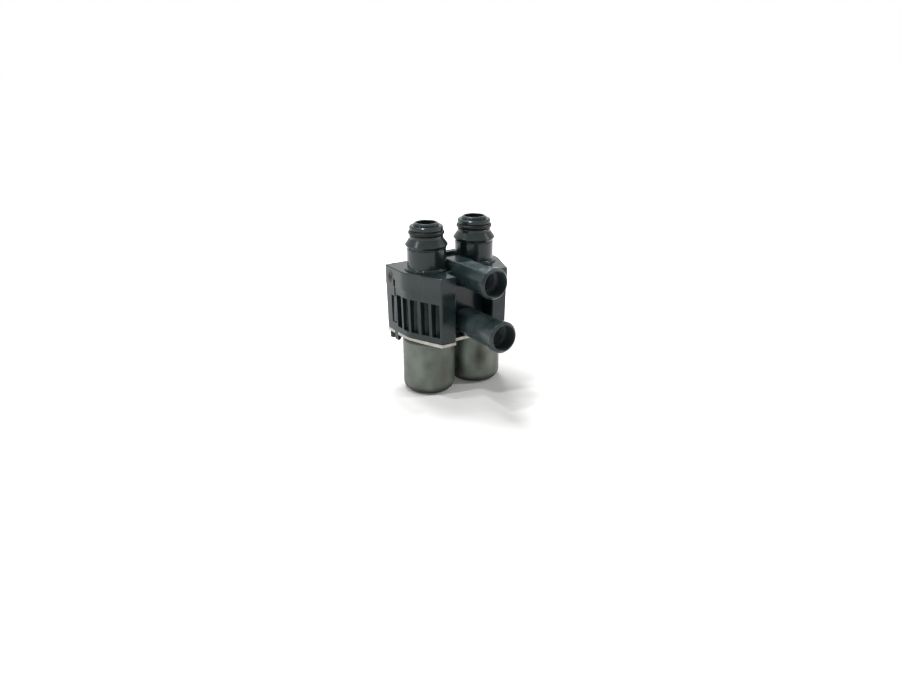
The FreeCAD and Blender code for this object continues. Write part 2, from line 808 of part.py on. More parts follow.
def make_can(word, x):
    corner = "can_corner"
    can = turned(word + "_can", [
        ("rivet_radius + rivet_fit", "0"),
        ("can_radius", "0"),
        ("can_radius", "can_height"),
        ("can_radius - can_wall", "can_height"),
        ("can_radius - can_wall", "can_wall"),
        ("rivet_radius + rivet_fit", "can_wall"),
    ], x)
    soften(can, word + "_can_corner", corner, lambda edge: ring_at(edge, 0, value("can_radius")))
    low = value("can_wall")
    soften(can, word + "_can_inner_corner", "can_corner - can_wall",
           lambda edge: ring_at(edge, low, value("can_radius - can_wall")), grows=True)
    return can


def make_bobbin(word, x):
    """Coil former on the can's floor; its foot lifts the lower flange clear of the drawn corner."""
    barrel = "(tube_radius + bobbin_fit + bobbin_wall)"
    low = "can_wall"
    high = "(can_height - coil_gap)"
    bobbin = turned(word + "_bobbin", [
        ("tube_radius + bobbin_fit", low),
        ("can_radius - can_corner - bobbin_fit", low),
        ("can_radius - can_corner - bobbin_fit", low + " + bobbin_foot"),
        ("winding_radius + bobbin_rim", low + " + bobbin_foot"),
        ("winding_radius + bobbin_rim", low + " + bobbin_foot + bobbin_flange"),
        (barrel, low + " + bobbin_foot + bobbin_flange"),
        (barrel, high + " - bobbin_flange"),
        ("winding_radius + bobbin_rim", high + " - bobbin_flange"),
        ("winding_radius + bobbin_rim", high),
        ("tube_radius + bobbin_fit", high),
    ], x)
    sketch = new_sketch(bobbin, word + "_pin_pocket_plan", "XY_Plane", ("0", "0", high))
    for side in ("-", ""):
        middle = side + "pin_spread"
        rectangle(sketch, middle + " - pin_width / 2", middle + " + pin_width / 2",
                  "pin_y - pin_thick / 2", "pin_y + pin_thick / 2")
    pocket(bobbin, word + "_pin_pockets", sketch, "2 * bobbin_flange / 3")
    return bobbin


def make_winding(word, x):
    barrel = "(tube_radius + bobbin_fit + bobbin_wall + winding_gap)"
    low = "(can_wall + bobbin_foot + bobbin_flange)"
    high = "(can_height - coil_gap - bobbin_flange)"
    return turned(word + "_winding", [
        (barrel, low),
        ("winding_radius", low),
        ("winding_radius", high),
        (barrel, high),
    ], x)


def make_coil_pins(word, x):
    low = "(can_height - coil_gap - 2 * bobbin_flange / 3)"
    pins = []
    for number, side in enumerate(("-", "")):
        pin = doc.addObject("Part::Box", "%s_coil_pin_%d" % (word, number))
        bind(pin, Length="pin_width", Width="pin_thick",
             Height=floor + " + bar_height - pin_thick / 2 - " + low)
        for axis, text in (
            ("x", x + " + " + side + "pin_spread - pin_width / 2"),
            ("y", "pin_y - pin_thick / 2"),
            ("z", low),
        ):
            pin.setExpression("Placement.Base." + axis, named(text))
        pins.append(pin)
    group = doc.addObject("Part::Compound", word + "_coil_pins")
    group.Label = word + "_coil_pins"
    group.Links = pins
    return group


def make_guide_tube(word, x):
    flange_low = floor
    return turned(word + "_guide_tube", [
        ("tube_radius - tube_wall", "can_wall"),
        ("tube_radius", "can_wall"),
        ("tube_radius", flange_low),
        ("collar_flange_radius", flange_low),
        ("collar_flange_radius", flange_low + " + collar_flange_thick"),
        ("tube_radius", flange_low + " + collar_flange_thick"),
        ("tube_radius", floor + " + tube_rise"),
        ("tube_radius - tube_wall", floor + " + tube_rise"),
    ], x)


core_top = "(can_wall + core_height)"
armature_low = "(can_wall + core_height + stroke + end_gap)"
armature_top = "(can_height + plate_thick + cartridge_recess - stop_gap)"
lip_top = "(can_height + plate_thick + cartridge_height + seat_lip)"
disc_low = "(can_height + plate_thick + cartridge_height + seat_lip + disc_gap + stroke)"


def make_fixed_core(word, x):
    radius = "(tube_radius - tube_wall - rivet_fit)"
    return turned(word + "_fixed_core", [
        ("0", "0"),
        ("rivet_radius", "0"),
        ("rivet_radius", "can_wall"),
        (radius, "can_wall"),
        (radius, core_top),
        ("spring_pocket_radius", core_top),
        ("spring_pocket_radius", core_top + " - spring_pocket_depth"),
        ("0", core_top + " - spring_pocket_depth"),
    ], x)


def make_armature(word, x):
    radius = "(tube_radius - tube_wall - tube_fit)"
    hole = "(stem_radius + stem_press)"
    return turned(word + "_armature", [
        ("0", armature_low + " + spring_pocket_depth"),
        ("spring_pocket_radius", armature_low + " + spring_pocket_depth"),
        ("spring_pocket_radius", armature_low),
        (radius + " - rim_round / 2", armature_low),
        (radius, armature_low + " + rim_round / 2"),
        (radius, armature_top + " - rim_round / 2"),
        (radius + " - rim_round / 2", armature_top),
        (hole, armature_top),
        (hole, armature_top + " - stem_seat"),
        ("0", armature_top + " - stem_seat"),
    ], x)


def make_stem(word, x):
    step = "(" + disc_low + " - stem_collar_thick)"
    end = "(" + disc_low + " + disc_thick + washer_thick + stem_tip)"
    return turned(word + "_stem", [
        ("0", armature_top + " - stem_seat"),
        ("stem_radius", armature_top + " - stem_seat"),
        ("stem_radius", step),
        ("stem_collar_radius", step),
        ("stem_collar_radius", disc_low),
        ("stem_radius", disc_low),
        ("stem_radius", end + " - rim_round / 2"),
        ("stem_radius - rim_round / 2", end),
        ("0", end),
    ], x)


def make_valve_disc(word, x):
    hole = "(stem_radius + stem_press)"
    return turned(word + "_valve_disc", [
        (hole, disc_low),
        ("disc_radius", disc_low),
        ("disc_radius", disc_low + " + disc_thick - rim_round"),
        ("disc_radius - rim_round", disc_low + " + disc_thick"),
        (hole, disc_low + " + disc_thick"),
    ], x)


def make_disc_washer(word, x):
    hole = "(stem_radius + stem_press)"
    low = "(" + disc_low + " + disc_thick)"
    return turned(word + "_disc_washer", [
        (hole, low),
        ("washer_radius", low),
        ("washer_radius", low + " + washer_thick"),
        (hole, low + " + washer_thick"),
    ], x)


def make_return_spring(word, x):
    """Round wire wound between the pockets of the fixed core and of the armature."""
    low = "(" + core_top + " - spring_pocket_depth + spring_wire)"
    high = "(" + armature_low + " + spring_pocket_depth - spring_wire)"
    coil = doc.addObject("Part::Helix", word + "_spring_coil")
    rise = "(" + high + " - " + low + ")"
    bind(coil, Pitch=rise + " / spring_turns", Height=rise, Radius="spring_radius")
    wire = doc.addObject("Part::Circle", word + "_spring_wire")
    bind(wire, Radius="spring_wire")
    wire.Placement = FreeCAD.Placement(Vector(0, 0, 0), FreeCAD.Rotation(Vector(1, 0, 0), 90))
    wire.setExpression("Placement.Base.x", named("spring_radius"))
    spring = doc.addObject("Part::Sweep", word + "_return_spring")
    spring.Label = word + "_return_spring"
    spring.Sections = [wire]
    spring.Spine = coil
    spring.Solid = True
    spring.Frenet = True
    spring.setExpression("Placement.Base.x", named(x))
    spring.setExpression("Placement.Base.z", named(low))
    return spring


def make_cartridge(word, x):
    """Plastic insert that guides the stem and carries the seat, with windows to the gallery."""
    outer = "(chamber_radius - cartridge_gap)"
    inner = "(chamber_radius - cartridge_gap - cartridge_wall)"
    groove = "(chamber_radius - 2 * packing_section)"
    top = "(" + floor + " + cartridge_height)"
    guide = "(stem_radius + stem_fit)"
    recess = "(tube_radius + 2 * tube_seal_section)"
    profile = [
        (guide, floor + " + cartridge_recess"),
        (recess, floor + " + cartridge_recess"),
        (recess, floor),
        (outer, floor),
    ]
    for low in ("packing_low", "packing_high"):
        profile += [
            (outer, floor + " + " + low),
            (groove, floor + " + " + low),
            (groove, floor + " + " + low + " + packing_groove"),
            (outer, floor + " + " + low + " + packing_groove"),
        ]
    profile += [
        (outer, top),
        ("seat_bore + seat_land", top),
        ("seat_bore + seat_land", top + " + seat_lip"),
        ("seat_bore", top + " + seat_lip"),
        ("seat_bore", top + " - cartridge_roof"),
        (inner, top + " - cartridge_roof"),
        (inner, floor + " + cartridge_recess + cartridge_floor"),
        (guide, floor + " + cartridge_recess + cartridge_floor"),
    ]
    body = turned(word + "_cartridge", profile, x)
    low = "(" + floor + " + cartridge_recess + cartridge_floor + window_sill)"
    for name, plane in (("front", "XZ_Plane"), ("side", "YZ_Plane")):
        sketch = new_sketch(body, "%s_%s_window_face" % (word, name), plane, ("0", "0", "chamber_radius"))
        rectangle(sketch, "-window_width / 2", "window_width / 2", low, low + " + window_height")
        pocket(body, "%s_%s_windows" % (word, name), sketch, "2 * chamber_radius")
    return body


def make_square_ring(label, x, inner, outer, low, high):
    """A lathe-cut rubber ring of square section with broken edges."""
    cut = "(packing_section / 4)"
    return turned(label, [
        (inner, low + " + " + cut),
        (inner + " + " + cut, low),
        (outer + " - " + cut, low),
        (outer, low + " + " + cut),
        (outer, high + " - " + cut),
        (outer + " - " + cut, high),
        (inner + " + " + cut, high),
        (inner, high + " - " + cut),
    ], x)


def make_packings(word, x):
    rings = []
    for name, low in (("lower", "packing_low"), ("upper", "packing_high")):
        base = "(" + floor + " + " + low + ")"
        rings.append(make_square_ring(
            "%s_%s_packing" % (word, name), x, "(chamber_radius - 2 * packing_section)", "chamber_radius",
            base, "(" + base + " + 2 * packing_section)"))
    seal_low = "(" + floor + " + collar_flange_thick)"
    rings.append(make_square_ring(
        word + "_tube_seal", x, "tube_radius", "(tube_radius + 2 * tube_seal_section)",
        seal_low, "(" + floor + " + cartridge_recess)"))
    return rings


def make_stub_ring(word, x):
    body = new_body(word + "_stub_ring", x, "stub_back")
    groove_low = "(" + deck + " + stub_top - shoulder_height - lip_height - ring_groove_height)"
    sketch = new_sketch(body, word + "_stub_ring_section", "XZ_Plane")
    circle(sketch, "ring_groove_radius + stub_ring_section", groove_low + " + stub_ring_section",
           "stub_ring_section")
    turn(body, word + "_stub_ring_turning", sketch)
    return body


bar_level = "(can_height + plate_thick + bar_height)"


def make_terminal_bars():
    """Three stamped bars: the middle one is common to both coils, the outer ones serve one coil each."""
    body = new_body("terminal_bars", z=bar_level + " - pin_thick / 2")
    inner_pin = "(valve_pitch / 2 - pin_spread)"
    outer_pin = "(valve_pitch / 2 + pin_spread)"
    half = "bar_width / 2"
    end = "(blade_end_y - bar_width / 4)"
    sketch = new_sketch(body, "common_bar_plan", "XY_Plane")
    polygon(sketch, both_sides([
        (half, end),
        (half, "pin_y + " + half),
        (inner_pin + " + " + half, "pin_y + " + half),
        (inner_pin + " + " + half, "pin_y - " + half),
    ]))
    pad(body, "common_bar", sketch, "pin_thick")
    sketch = new_sketch(body, "outer_bar_plan", "XY_Plane")
    for side in ("", "-"):
        polygon(sketch, [
            (side + "(" + outer_pin + " + " + half + ")", "pin_y - " + half),
            (side + "(" + outer_pin + " + " + half + ")", "bar_turn_y + " + half),
            (side + "(blade_pitch + " + half + ")", "bar_turn_y + " + half),
            (side + "(blade_pitch + " + half + ")", end),
            (side + "(blade_pitch - " + half + ")", end),
            (side + "(blade_pitch - " + half + ")", "bar_turn_y - " + half),
            (side + "(" + outer_pin + " - " + half + ")", "bar_turn_y - " + half),
            (side + "(" + outer_pin + " - " + half + ")", "pin_y - " + half),
        ])
    pad(body, "outer_bars", sketch, "pin_thick")
    return body


def make_connector_housing():
    body = new_body("connector_housing", z=bar_level)
    sketch = new_sketch(body, "socket_face", "XZ_Plane", ("0", "0", "-socket_front_y"))
    rectangle(sketch, "-socket_half", "socket_half", "-socket_half_height", "socket_half_height")
    pad(body, "socket_block", sketch, "socket_rear_y - socket_front_y", reverse=True)
    soften(body, "socket_edges", "rim_round", lies_along_y)
    flange_front = "(rear_y + gasket_thick)"
    sketch = new_sketch(body, "flange_face", "XZ_Plane", ("0", "0", "-" + flange_front))
    rectangle(sketch, "-flange_half", "flange_half", "-flange_half_height", "flange_half_height")
    pad(body, "flange", sketch, "flange_thick", reverse=True)
    wide = value("flange_half")
    soften(body, "flange_corners", "edge_round",
           lambda edge: lies_along_y(edge) and abs(abs(edge.Vertexes[0].X) - wide) < 0.01)
    sketch = new_sketch(body, "socket_hollow_face", "XZ_Plane", ("0", "0", "-socket_rear_y"))
    rectangle(sketch, "socket_wall - socket_half", "socket_half - socket_wall",
              "socket_wall - socket_half_height", "socket_half_height - socket_wall")
    pocket(body, "socket_hollow", sketch, "socket_rear_y - socket_floor_y", reverse=True)
    sketch = new_sketch(body, "blade_hole_face", "XZ_Plane", ("0", "0", "-socket_rear_y"))
    half = "(bar_width / 2 + blade_press)"
    for middle in ("-blade_pitch", "0", "blade_pitch"):
        rectangle(sketch, middle + " - " + half, middle + " + " + half, "-pin_thick / 2 - blade_press",
                  "pin_thick / 2 + blade_press")
    pocket(body, "blade_holes", sketch, "socket_rear_y - socket_front_y + skin", reverse=True)
    return body


def lies_along_y(edge):
    ends = edge.Vertexes
    return len(ends) == 2 and abs(ends[0].Y - ends[1].Y) > 0.5 and abs(ends[0].X - ends[1].X) < 0.01


def make_connector_gasket():
    body = new_body("connector_gasket", z=bar_level)
    sketch = new_sketch(body, "gasket_face", "XZ_Plane", ("0", "0", "-rear_y"))
    wide = "(flange_half - gasket_inset)"
    tall = "(flange_half_height - gasket_inset)"
    rectangle(sketch, "-" + wide, wide, "-" + tall, tall)
    pad(body, "gasket_sheet", sketch, "gasket_thick", reverse=True)
    sketch = new_sketch(body, "gasket_hole_face", "XZ_Plane", ("0", "0", "-rear_y"))
    half = "(socket_half + socket_fit)"
    high = "(socket_half_height + socket_fit)"
    rectangle(sketch, "-" + half, half, "-" + high, high)
    pocket(body, "gasket_hole", sketch, "2 * gasket_thick")
    return body


pieces = [
    make_valve_body(),
    make_yoke_plate(),
    make_plate_screws(),
    make_connector_housing(),
    make_connector_gasket(),
    make_terminal_bars(),
]
for word, side in (("left", "-"), ("right", "")):
    valve_axis = side + valve_x
    pieces += [
        make_can(word, valve_axis),
        make_bobbin(word, valve_axis),
        make_winding(word, valve_axis),
        make_coil_pins(word, valve_axis),
        make_guide_tube(word, valve_axis),
        make_fixed_core(word, valve_axis),
        make_armature(word, valve_axis),
        make_stem(word, valve_axis),
        make_valve_disc(word, valve_axis),
        make_disc_washer(word, valve_axis),
        make_return_spring(word, valve_axis),
        make_cartridge(word, valve_axis),
        make_stub_ring(word, valve_axis),
    ]
    pieces += make_packings(word, valve_axis)

doc.recompute()
for thing in doc.Objects:
    if "Invalid" in thing.State or "Error" in thing.State:
        raise RuntimeError("failed: " + thing.Name)
for piece in pieces:
    if piece.Shape.isNull() or not piece.Shape.isValid():
        raise RuntimeError("bad shape: " + piece.Label)
os.makedirs("parts", exist_ok=True)
for piece in pieces:
    piece.Shape.exportStep("parts/" + piece.Label + ".step")
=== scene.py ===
import json
import math

import bmesh
import bpy
from mathutils import Matrix, Vector


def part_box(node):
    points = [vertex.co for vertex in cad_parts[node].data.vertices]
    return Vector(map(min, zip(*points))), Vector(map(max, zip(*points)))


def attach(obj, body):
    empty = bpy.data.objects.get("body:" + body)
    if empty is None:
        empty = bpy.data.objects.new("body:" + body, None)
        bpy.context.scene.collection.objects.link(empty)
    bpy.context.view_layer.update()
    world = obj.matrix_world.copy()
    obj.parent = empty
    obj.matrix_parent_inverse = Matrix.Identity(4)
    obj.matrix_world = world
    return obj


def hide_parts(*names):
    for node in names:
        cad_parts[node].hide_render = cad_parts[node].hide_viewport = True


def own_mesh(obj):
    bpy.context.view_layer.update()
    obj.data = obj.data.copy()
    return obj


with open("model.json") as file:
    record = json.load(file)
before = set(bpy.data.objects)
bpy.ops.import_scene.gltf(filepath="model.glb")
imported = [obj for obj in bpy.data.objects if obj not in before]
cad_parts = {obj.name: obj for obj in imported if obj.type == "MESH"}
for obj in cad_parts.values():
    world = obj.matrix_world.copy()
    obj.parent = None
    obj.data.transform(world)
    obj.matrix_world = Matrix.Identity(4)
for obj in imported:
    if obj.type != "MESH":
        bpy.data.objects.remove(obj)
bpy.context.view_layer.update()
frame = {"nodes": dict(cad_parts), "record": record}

mm = 0.001
scene = bpy.context.scene
scene.view_settings.view_transform = "Standard"

cameraView = {
    "place": (-314.9, -477.9, 246.3),  # mm from the middle of the can floor
    "azimuth": -33.24,                 # degrees, as elevation and roll
    "elevation": 21.17,
    "roll": -0.37,
    "lens": 32.3,                      # mm
    "sensor": 36,                      # mm wide
    "clip": (0.01, 50),                # metres
}


def aimCamera(view):
    azimuth, elevation, roll = (math.radians(view[key]) for key in ("azimuth", "elevation", "roll"))
    back = Vector((
        math.sin(azimuth) * math.cos(elevation),
        -math.cos(azimuth) * math.cos(elevation),
        math.sin(elevation),
    ))
    level = Vector((math.cos(azimuth), math.sin(azimuth), 0))
    upright = back.cross(level)
    right = level * math.cos(roll) + upright * math.sin(roll)
    up = upright * math.cos(roll) - level * math.sin(roll)
    data = bpy.data.cameras.new("photoCamera")
    data.lens = view["lens"]
    data.sensor_width = view["sensor"]
    data.clip_start, data.clip_end = view["clip"]
    camera = bpy.data.objects.new("photoCamera", data)
    scene.collection.objects.link(camera)
    turn = Matrix((right, up, back)).transposed().to_4x4()
    camera.matrix_world = Matrix.Translation(Vector(view["place"]) * mm) @ turn
    scene.camera = camera


aimCamera(cameraView)
print("camera aimed")


def linear(hexColour):
    parts = [int(hexColour[i:i + 2], 16) / 255 for i in (1, 3, 5)]
    return tuple(c / 12.92 if c <= 0.04045 else ((c + 0.055) / 1.055) ** 2.4 for c in parts) + (1.0,)


def perMetre(millimetres):
    # texture scale that repeats once per that size
    return 1 / (millimetres * mm)


def addNode(tree, kind, settings=None, inputs=None, stops=()):
    # an input takes a value, a socket, or a node whose first output is linked; stops are of a colour ramp
    node = tree.nodes.new(kind)
    for key, value in (settings or {}).items():
        setattr(node, key, value)
    for key, value in (inputs or {}).items():
        if isinstance(value, bpy.types.Node):
            value = value.outputs[0]
        if isinstance(value, bpy.types.NodeSocket):
            tree.links.new(value, node.inputs[key])
        else:
            node.inputs[key].default_value = value
    while stops and len(node.color_ramp.elements) < len(stops):
        node.color_ramp.elements.new(0.5)
    for number, (position, hexColour) in enumerate(stops):
        node.color_ramp.elements[number].position = position
        node.color_ramp.elements[number].color = linear(hexColour)
    return node


def newMaterial(name):
    material = bpy.data.materials.new(name)
    material.use_nodes = True
    material.node_tree.nodes.clear()
    return material, material.node_tree


def patchMask(tree, place, centre, radius, edge):
    # 1 round the centre, fading over the edge to 0, all in mm
    away = addNode(tree, "ShaderNodeVectorMath", {"operation": "DISTANCE"}, {
        0: place, 1: [c * mm for c in centre]})
    return addNode(tree, "ShaderNodeMapRange", {"interpolation_type": "SMOOTHSTEP"}, {
        "Value": away.outputs["Value"],
        "From Min": (radius + edge) * mm,
        "From Max": max(radius - edge, 0) * mm,
    })


noiseSpan = (0.3, 0.7)  # nearly all of a noise texture lies between these

nylonLook = {
    "colours": ((0.30, "#182324"), (0.52, "#202d2e"), (0.72, "#2c3b3c")),
    "blotch": 14,         # mm, slow change of tone
    "speckle": 0.7,       # mm, glass fibre at the skin
    "speckleShare": 0.3,
    "spots": 4.5,         # mm, how wide the spots of a brown patch are
    "texture": 0.35,      # mm, grain of the spark-eroded mould
    "textureDepth": 0.03,
    "roughness": (0.11, 0.27),
    "gloss": 0.3,
    "brownPatches": (((-40.3, 18.6, 84.5), 4.4), ((-38.2, 23.0, 40.8), 2.0)),  # mm, centre and radius: a brown patch high on the left wall, and painted shade on the left foot just under the plate
    "brownPatchEdge": 0.6,     # of the radius
    "brownPatchSpan": (0.34, 0.52),
    "brownPatchShare": 0.8,
    "brownPatchColour": "#30271d",
    # height, tip and bore of each port in mm, and how much paler its pipe is painted, as painted light
    "ports": ((89.7, -54.7, 6.85, 0.05), (54.1, -65.3, 8.05, 0.34)),
    "pipeReach": 11.5,    # mm, further from a port's axis than its skin
    "bodyFace": -19.0,    # y where the ports leave the body
    "flatHeight": 97.9,
    "flatPaintedLight": 0.6,
    "paintedLightColour": "#6d797b",
    "boreLightColours": ("#353f42", "#959fa1"),  # painted light inside the bore: darker at the mouth, paler further in
    "wettedDepth": (8.0, 14.0),               # mm
    "boreLightRoughness": 0.9,
    "mouth": 9.0,         # mm, radius of the wider mouth of a bore
    "mouthLength": 11.5,
    "rimMargin": 0.2,
}


def glassFilledNylon(name, look):
    # black PA66 with glass fibre, injection moulded: a satin skin of uneven tone, with painted light on the
    # hose ports and inside their bores, and brown patches
    material, tree = newMaterial(name)
    place = addNode(tree, "ShaderNodeTexCoord").outputs["Object"]
    noise = {}
    for part, detail, rough in (
            ("blotch", 4, 0.55), ("speckle", 2, 0.6), ("spots", 4, 0.7), ("texture", 3, 0.5)):
        noise[part] = addNode(tree, "ShaderNodeTexNoise", inputs={
            "Vector": place, "Scale": perMetre(look[part]), "Detail": detail, "Roughness": rough})
    tone = addNode(tree, "ShaderNodeMix", {"data_type": "FLOAT"}, {
        0: look["speckleShare"], 2: noise["blotch"], 3: noise["speckle"]})
    colour = addNode(tree, "ShaderNodeValToRGB", inputs={"Fac": tone}, stops=look["colours"])
    rough = addNode(tree, "ShaderNodeMapRange", inputs={
        "Value": noise["blotch"], "From Min": noiseSpan[0], "From Max": noiseSpan[1],
        "To Min": look["roughness"][0], "To Max": look["roughness"][1]})
    along = addNode(tree, "ShaderNodeSeparateXYZ", inputs={0: place}).outputs
    across = addNode(tree, "ShaderNodeCombineXYZ", inputs={"X": along["X"], "Z": along["Z"]})
    for height, tip, bore, paintedLight in look["ports"]:
        away = addNode(tree, "ShaderNodeVectorMath", {"operation": "DISTANCE"}, {
            0: across, 1: (0, 0, height * mm)})
        known = {"y": along["Y"], "z": along["Z"], "away": away.outputs["Value"], "blotch": noise["blotch"]}
        for result, operation, *terms in (
                ("onPipe", "LESS_THAN", "away", look["pipeReach"] * mm),
                ("clear", "LESS_THAN", "y", look["bodyFace"] * mm),
                ("pipe", "MULTIPLY", "onPipe", "clear"),
                ("onFlat", "GREATER_THAN", "z", look["flatHeight"] * mm),
                ("share", "MULTIPLY_ADD", "onFlat", look["flatPaintedLight"] - paintedLight, paintedLight),
                ("paintedLight", "MULTIPLY", "pipe", "share"),
                ("unevenPaintedLight", "MULTIPLY", "paintedLight", "blotch"),
                ("inMouth", "LESS_THAN", "y", (tip + look["mouthLength"]) * mm),
                ("limit", "MULTIPLY_ADD", "inMouth", (look["mouth"] - bore) * mm, bore * mm),
                ("inBore", "LESS_THAN", "away", "limit"),
                ("pastRim", "GREATER_THAN", "y", (tip + look["rimMargin"]) * mm),
                ("inside", "MULTIPLY", "inBore", "pastRim"),
                ("wetted", "MULTIPLY", "inside", "clear")):
            known[result] = addNode(tree, "ShaderNodeMath", {"operation": operation}, {
                number: known.get(term, term) for number, term in enumerate(terms)})
        # painted light: the pipes, and most of all the flat top, are painted paler
        colour = addNode(tree, "ShaderNodeMix", {"data_type": "RGBA"}, {
            0: known["unevenPaintedLight"], 6: colour, 7: linear(look["paintedLightColour"])}).outputs[2]
        # painted light inside each bore, paler further in
        deep = addNode(tree, "ShaderNodeMapRange", inputs={
            "Value": along["Y"],
            "From Min": (tip + look["wettedDepth"][0]) * mm,
            "From Max": (tip + look["wettedDepth"][1]) * mm})
        paintedBoreLight = addNode(tree, "ShaderNodeMix", {"data_type": "RGBA"}, {
            0: deep, 6: linear(look["boreLightColours"][0]), 7: linear(look["boreLightColours"][1])}).outputs[2]
        colour = addNode(tree, "ShaderNodeMix", {"data_type": "RGBA"}, {
            0: known["wetted"], 6: colour, 7: paintedBoreLight}).outputs[2]
        rough = addNode(tree, "ShaderNodeMix", {"data_type": "FLOAT"}, {
            0: known["wetted"], 2: rough, 3: look["boreLightRoughness"]})
    bump = addNode(tree, "ShaderNodeBump", inputs={
        "Strength": 0.35, "Distance": look["textureDepth"] * mm, "Height": noise["texture"]})
    skin = addNode(tree, "ShaderNodeBsdfPrincipled", inputs={
        "Base Color": colour, "Roughness": rough, "IOR": 1.53,
        "Specular IOR Level": look["gloss"], "Normal": bump})
    # brown patches: the second is painted shade on the left foot under the plate
    brownPatchShader = addNode(tree, "ShaderNodeBsdfDiffuse", inputs={"Color": linear(look["brownPatchColour"])})
    near = 0.0
    for centre, radius in look["brownPatches"]:
        near = addNode(tree, "ShaderNodeMath", {"operation": "MAXIMUM"}, {
            0: near, 1: patchMask(tree, place, centre, radius, radius * look["brownPatchEdge"])})
    spotted = addNode(tree, "ShaderNodeMapRange", inputs={
        "Value": noise["spots"], "From Min": look["brownPatchSpan"][0], "From Max": look["brownPatchSpan"][1],
        "To Max": look["brownPatchShare"]})
    brownPatched = addNode(tree, "ShaderNodeMath", {"operation": "MULTIPLY"}, {0: near, 1: spotted})
    covered = addNode(tree, "ShaderNodeMixShader", inputs={0: brownPatched, 1: skin, 2: brownPatchShader})
    addNode(tree, "ShaderNodeOutputMaterial", inputs={"Surface": covered})
    return material


canLook = {
    "colours": ((0.32, "#535852"), (0.5, "#666d66"), (0.68, "#777c73")),
    "cloud": 13,      # mm, how wide the clouds of the passivated skin are
    "fine": 0.9,      # mm, drawing marks
    "fineShare": 0.1,
    "fineStretch": 0.12,
    "fineDepth": 0.01,
    "roughness": (0.42, 0.58),
    "metallic": 0.7,
    # where the passivation took differently, with painted reflections, painted light and painted shade: x, y,
    # z, radius, colour, strength
    "passivationAndLightPatches": (
        (-35.8, -11.4, 24, 6.0, "#7f8980", 0.50), (-19.6, -19.0, 18, 7.0, "#4a463e", 0.55),
        (-31.0, -15.9, 5, 4.5, "#8d9087", 0.40), (-26.0, -18.2, 32, 6.0, "#5c5c55", 0.45),
        # on the right can's left side the pale patch at x 4.4 is painted light and the dark patch at x 13.2
        # painted shade from the left can
        (-38.9, 4.0, 10, 5.0, "#57504a", 0.50), (4.4, -10.0, 22, 5.5, "#909b92", 0.85),
        (13.2, -17.5, 24, 5.5, "#332e27", 0.80), (23.4, -18.8, 14, 5.0, "#858074", 0.50),
        (36.0, -11.0, 22, 6.0, "#8d8c82", 0.60), (-8.0, 14.0, 20, 7.0, "#595850", 0.50),
        (30.0, 16.4, 30, 6.0, "#7f8980", 0.45), (-30.0, 16.4, 12, 6.0, "#7a7d74", 0.45),
    ),
    "patchEdge": 0.6,  # of the radius
    "squash": 0.4,     # patches reach 1 / 0.4 times as far in Z, so they stand upright
    # heights in mm where a band of painted shade starts and is full, its colour and its strength
    "paintedShadeBands": (
        (38.6, 40.8, "#2b2119", 0.85),  # painted shade, brown, just under the plate
        (7.0, 2.0, "#1c1f1c", 0.80),    # painted shade on the rounded bottom
    ),
}


def passivatedCan(look):
    # deep drawn steel, zinc-nickel plated and passivated: clouded grey green with patches of painted light
    # and shade, and painted shade under the plate and round the bottom
    material, tree = newMaterial("zincNickelDeepDrawnSteel")
    place = addNode(tree, "ShaderNodeTexCoord").outputs["Object"]
    clouds = addNode(tree, "ShaderNodeTexNoise", inputs={
        "Vector": place, "Scale": perMetre(look["cloud"]), "Detail": 3.0, "Roughness": 0.45})
    upright = addNode(tree, "ShaderNodeMapping", inputs={
        "Vector": place, "Scale": (1, 1, look["fineStretch"])})
    fine = addNode(tree, "ShaderNodeTexNoise", inputs={
        "Vector": upright, "Scale": perMetre(look["fine"]), "Detail": 3.0})
    tone = addNode(tree, "ShaderNodeMix", {"data_type": "FLOAT"}, {
        0: look["fineShare"], 2: clouds, 3: fine})
    colour = addNode(tree, "ShaderNodeValToRGB", inputs={"Fac": tone}, stops=look["colours"])
    squash = look["squash"]
    squashed = addNode(tree, "ShaderNodeMapping", inputs={"Vector": place, "Scale": (1, 1, squash)})
    masks = []
    for x, y, z, radius, hexColour, strength in look["passivationAndLightPatches"]:
        reach = radius * look["patchEdge"]
        patch = patchMask(tree, squashed, (x, y, z * squash), reach, reach)
        part = addNode(tree, "ShaderNodeMath", {"operation": "MULTIPLY"}, {0: patch, 1: strength})
        masks.append((part, hexColour))
    height = addNode(tree, "ShaderNodeSeparateXYZ", inputs={0: place}).outputs["Z"]
    for start, full, hexColour, strength in look["paintedShadeBands"]:
        shadeBand = addNode(tree, "ShaderNodeMapRange", {"interpolation_type": "SMOOTHSTEP"}, {
            "Value": height, "From Min": start * mm, "From Max": full * mm, "To Max": strength})
        masks.append((shadeBand, hexColour))
    for mask, hexColour in masks:
        colour = addNode(tree, "ShaderNodeMix", {"data_type": "RGBA"}, {
            0: mask, 6: colour, 7: linear(hexColour)}).outputs[2]
    rough = addNode(tree, "ShaderNodeMapRange", inputs={
        "Value": clouds, "From Min": noiseSpan[0], "From Max": noiseSpan[1],
        "To Min": look["roughness"][0], "To Max": look["roughness"][1]})
    bump = addNode(tree, "ShaderNodeBump", inputs={
        "Strength": 0.3, "Distance": look["fineDepth"] * mm, "Height": fine})
    shader = addNode(tree, "ShaderNodeBsdfPrincipled", inputs={
        "Base Color": colour, "Metallic": look["metallic"], "Roughness": rough, "Normal": bump})
    addNode(tree, "ShaderNodeOutputMaterial", inputs={"Surface": shader})
    return material


steelGrain = {
    "stretch": 0.22,      # streaks reach 1 / 0.22 times as far in Z
    "fine": 0.8,          # mm, marks of die and tool
    "fineDepth": 0.01,
}


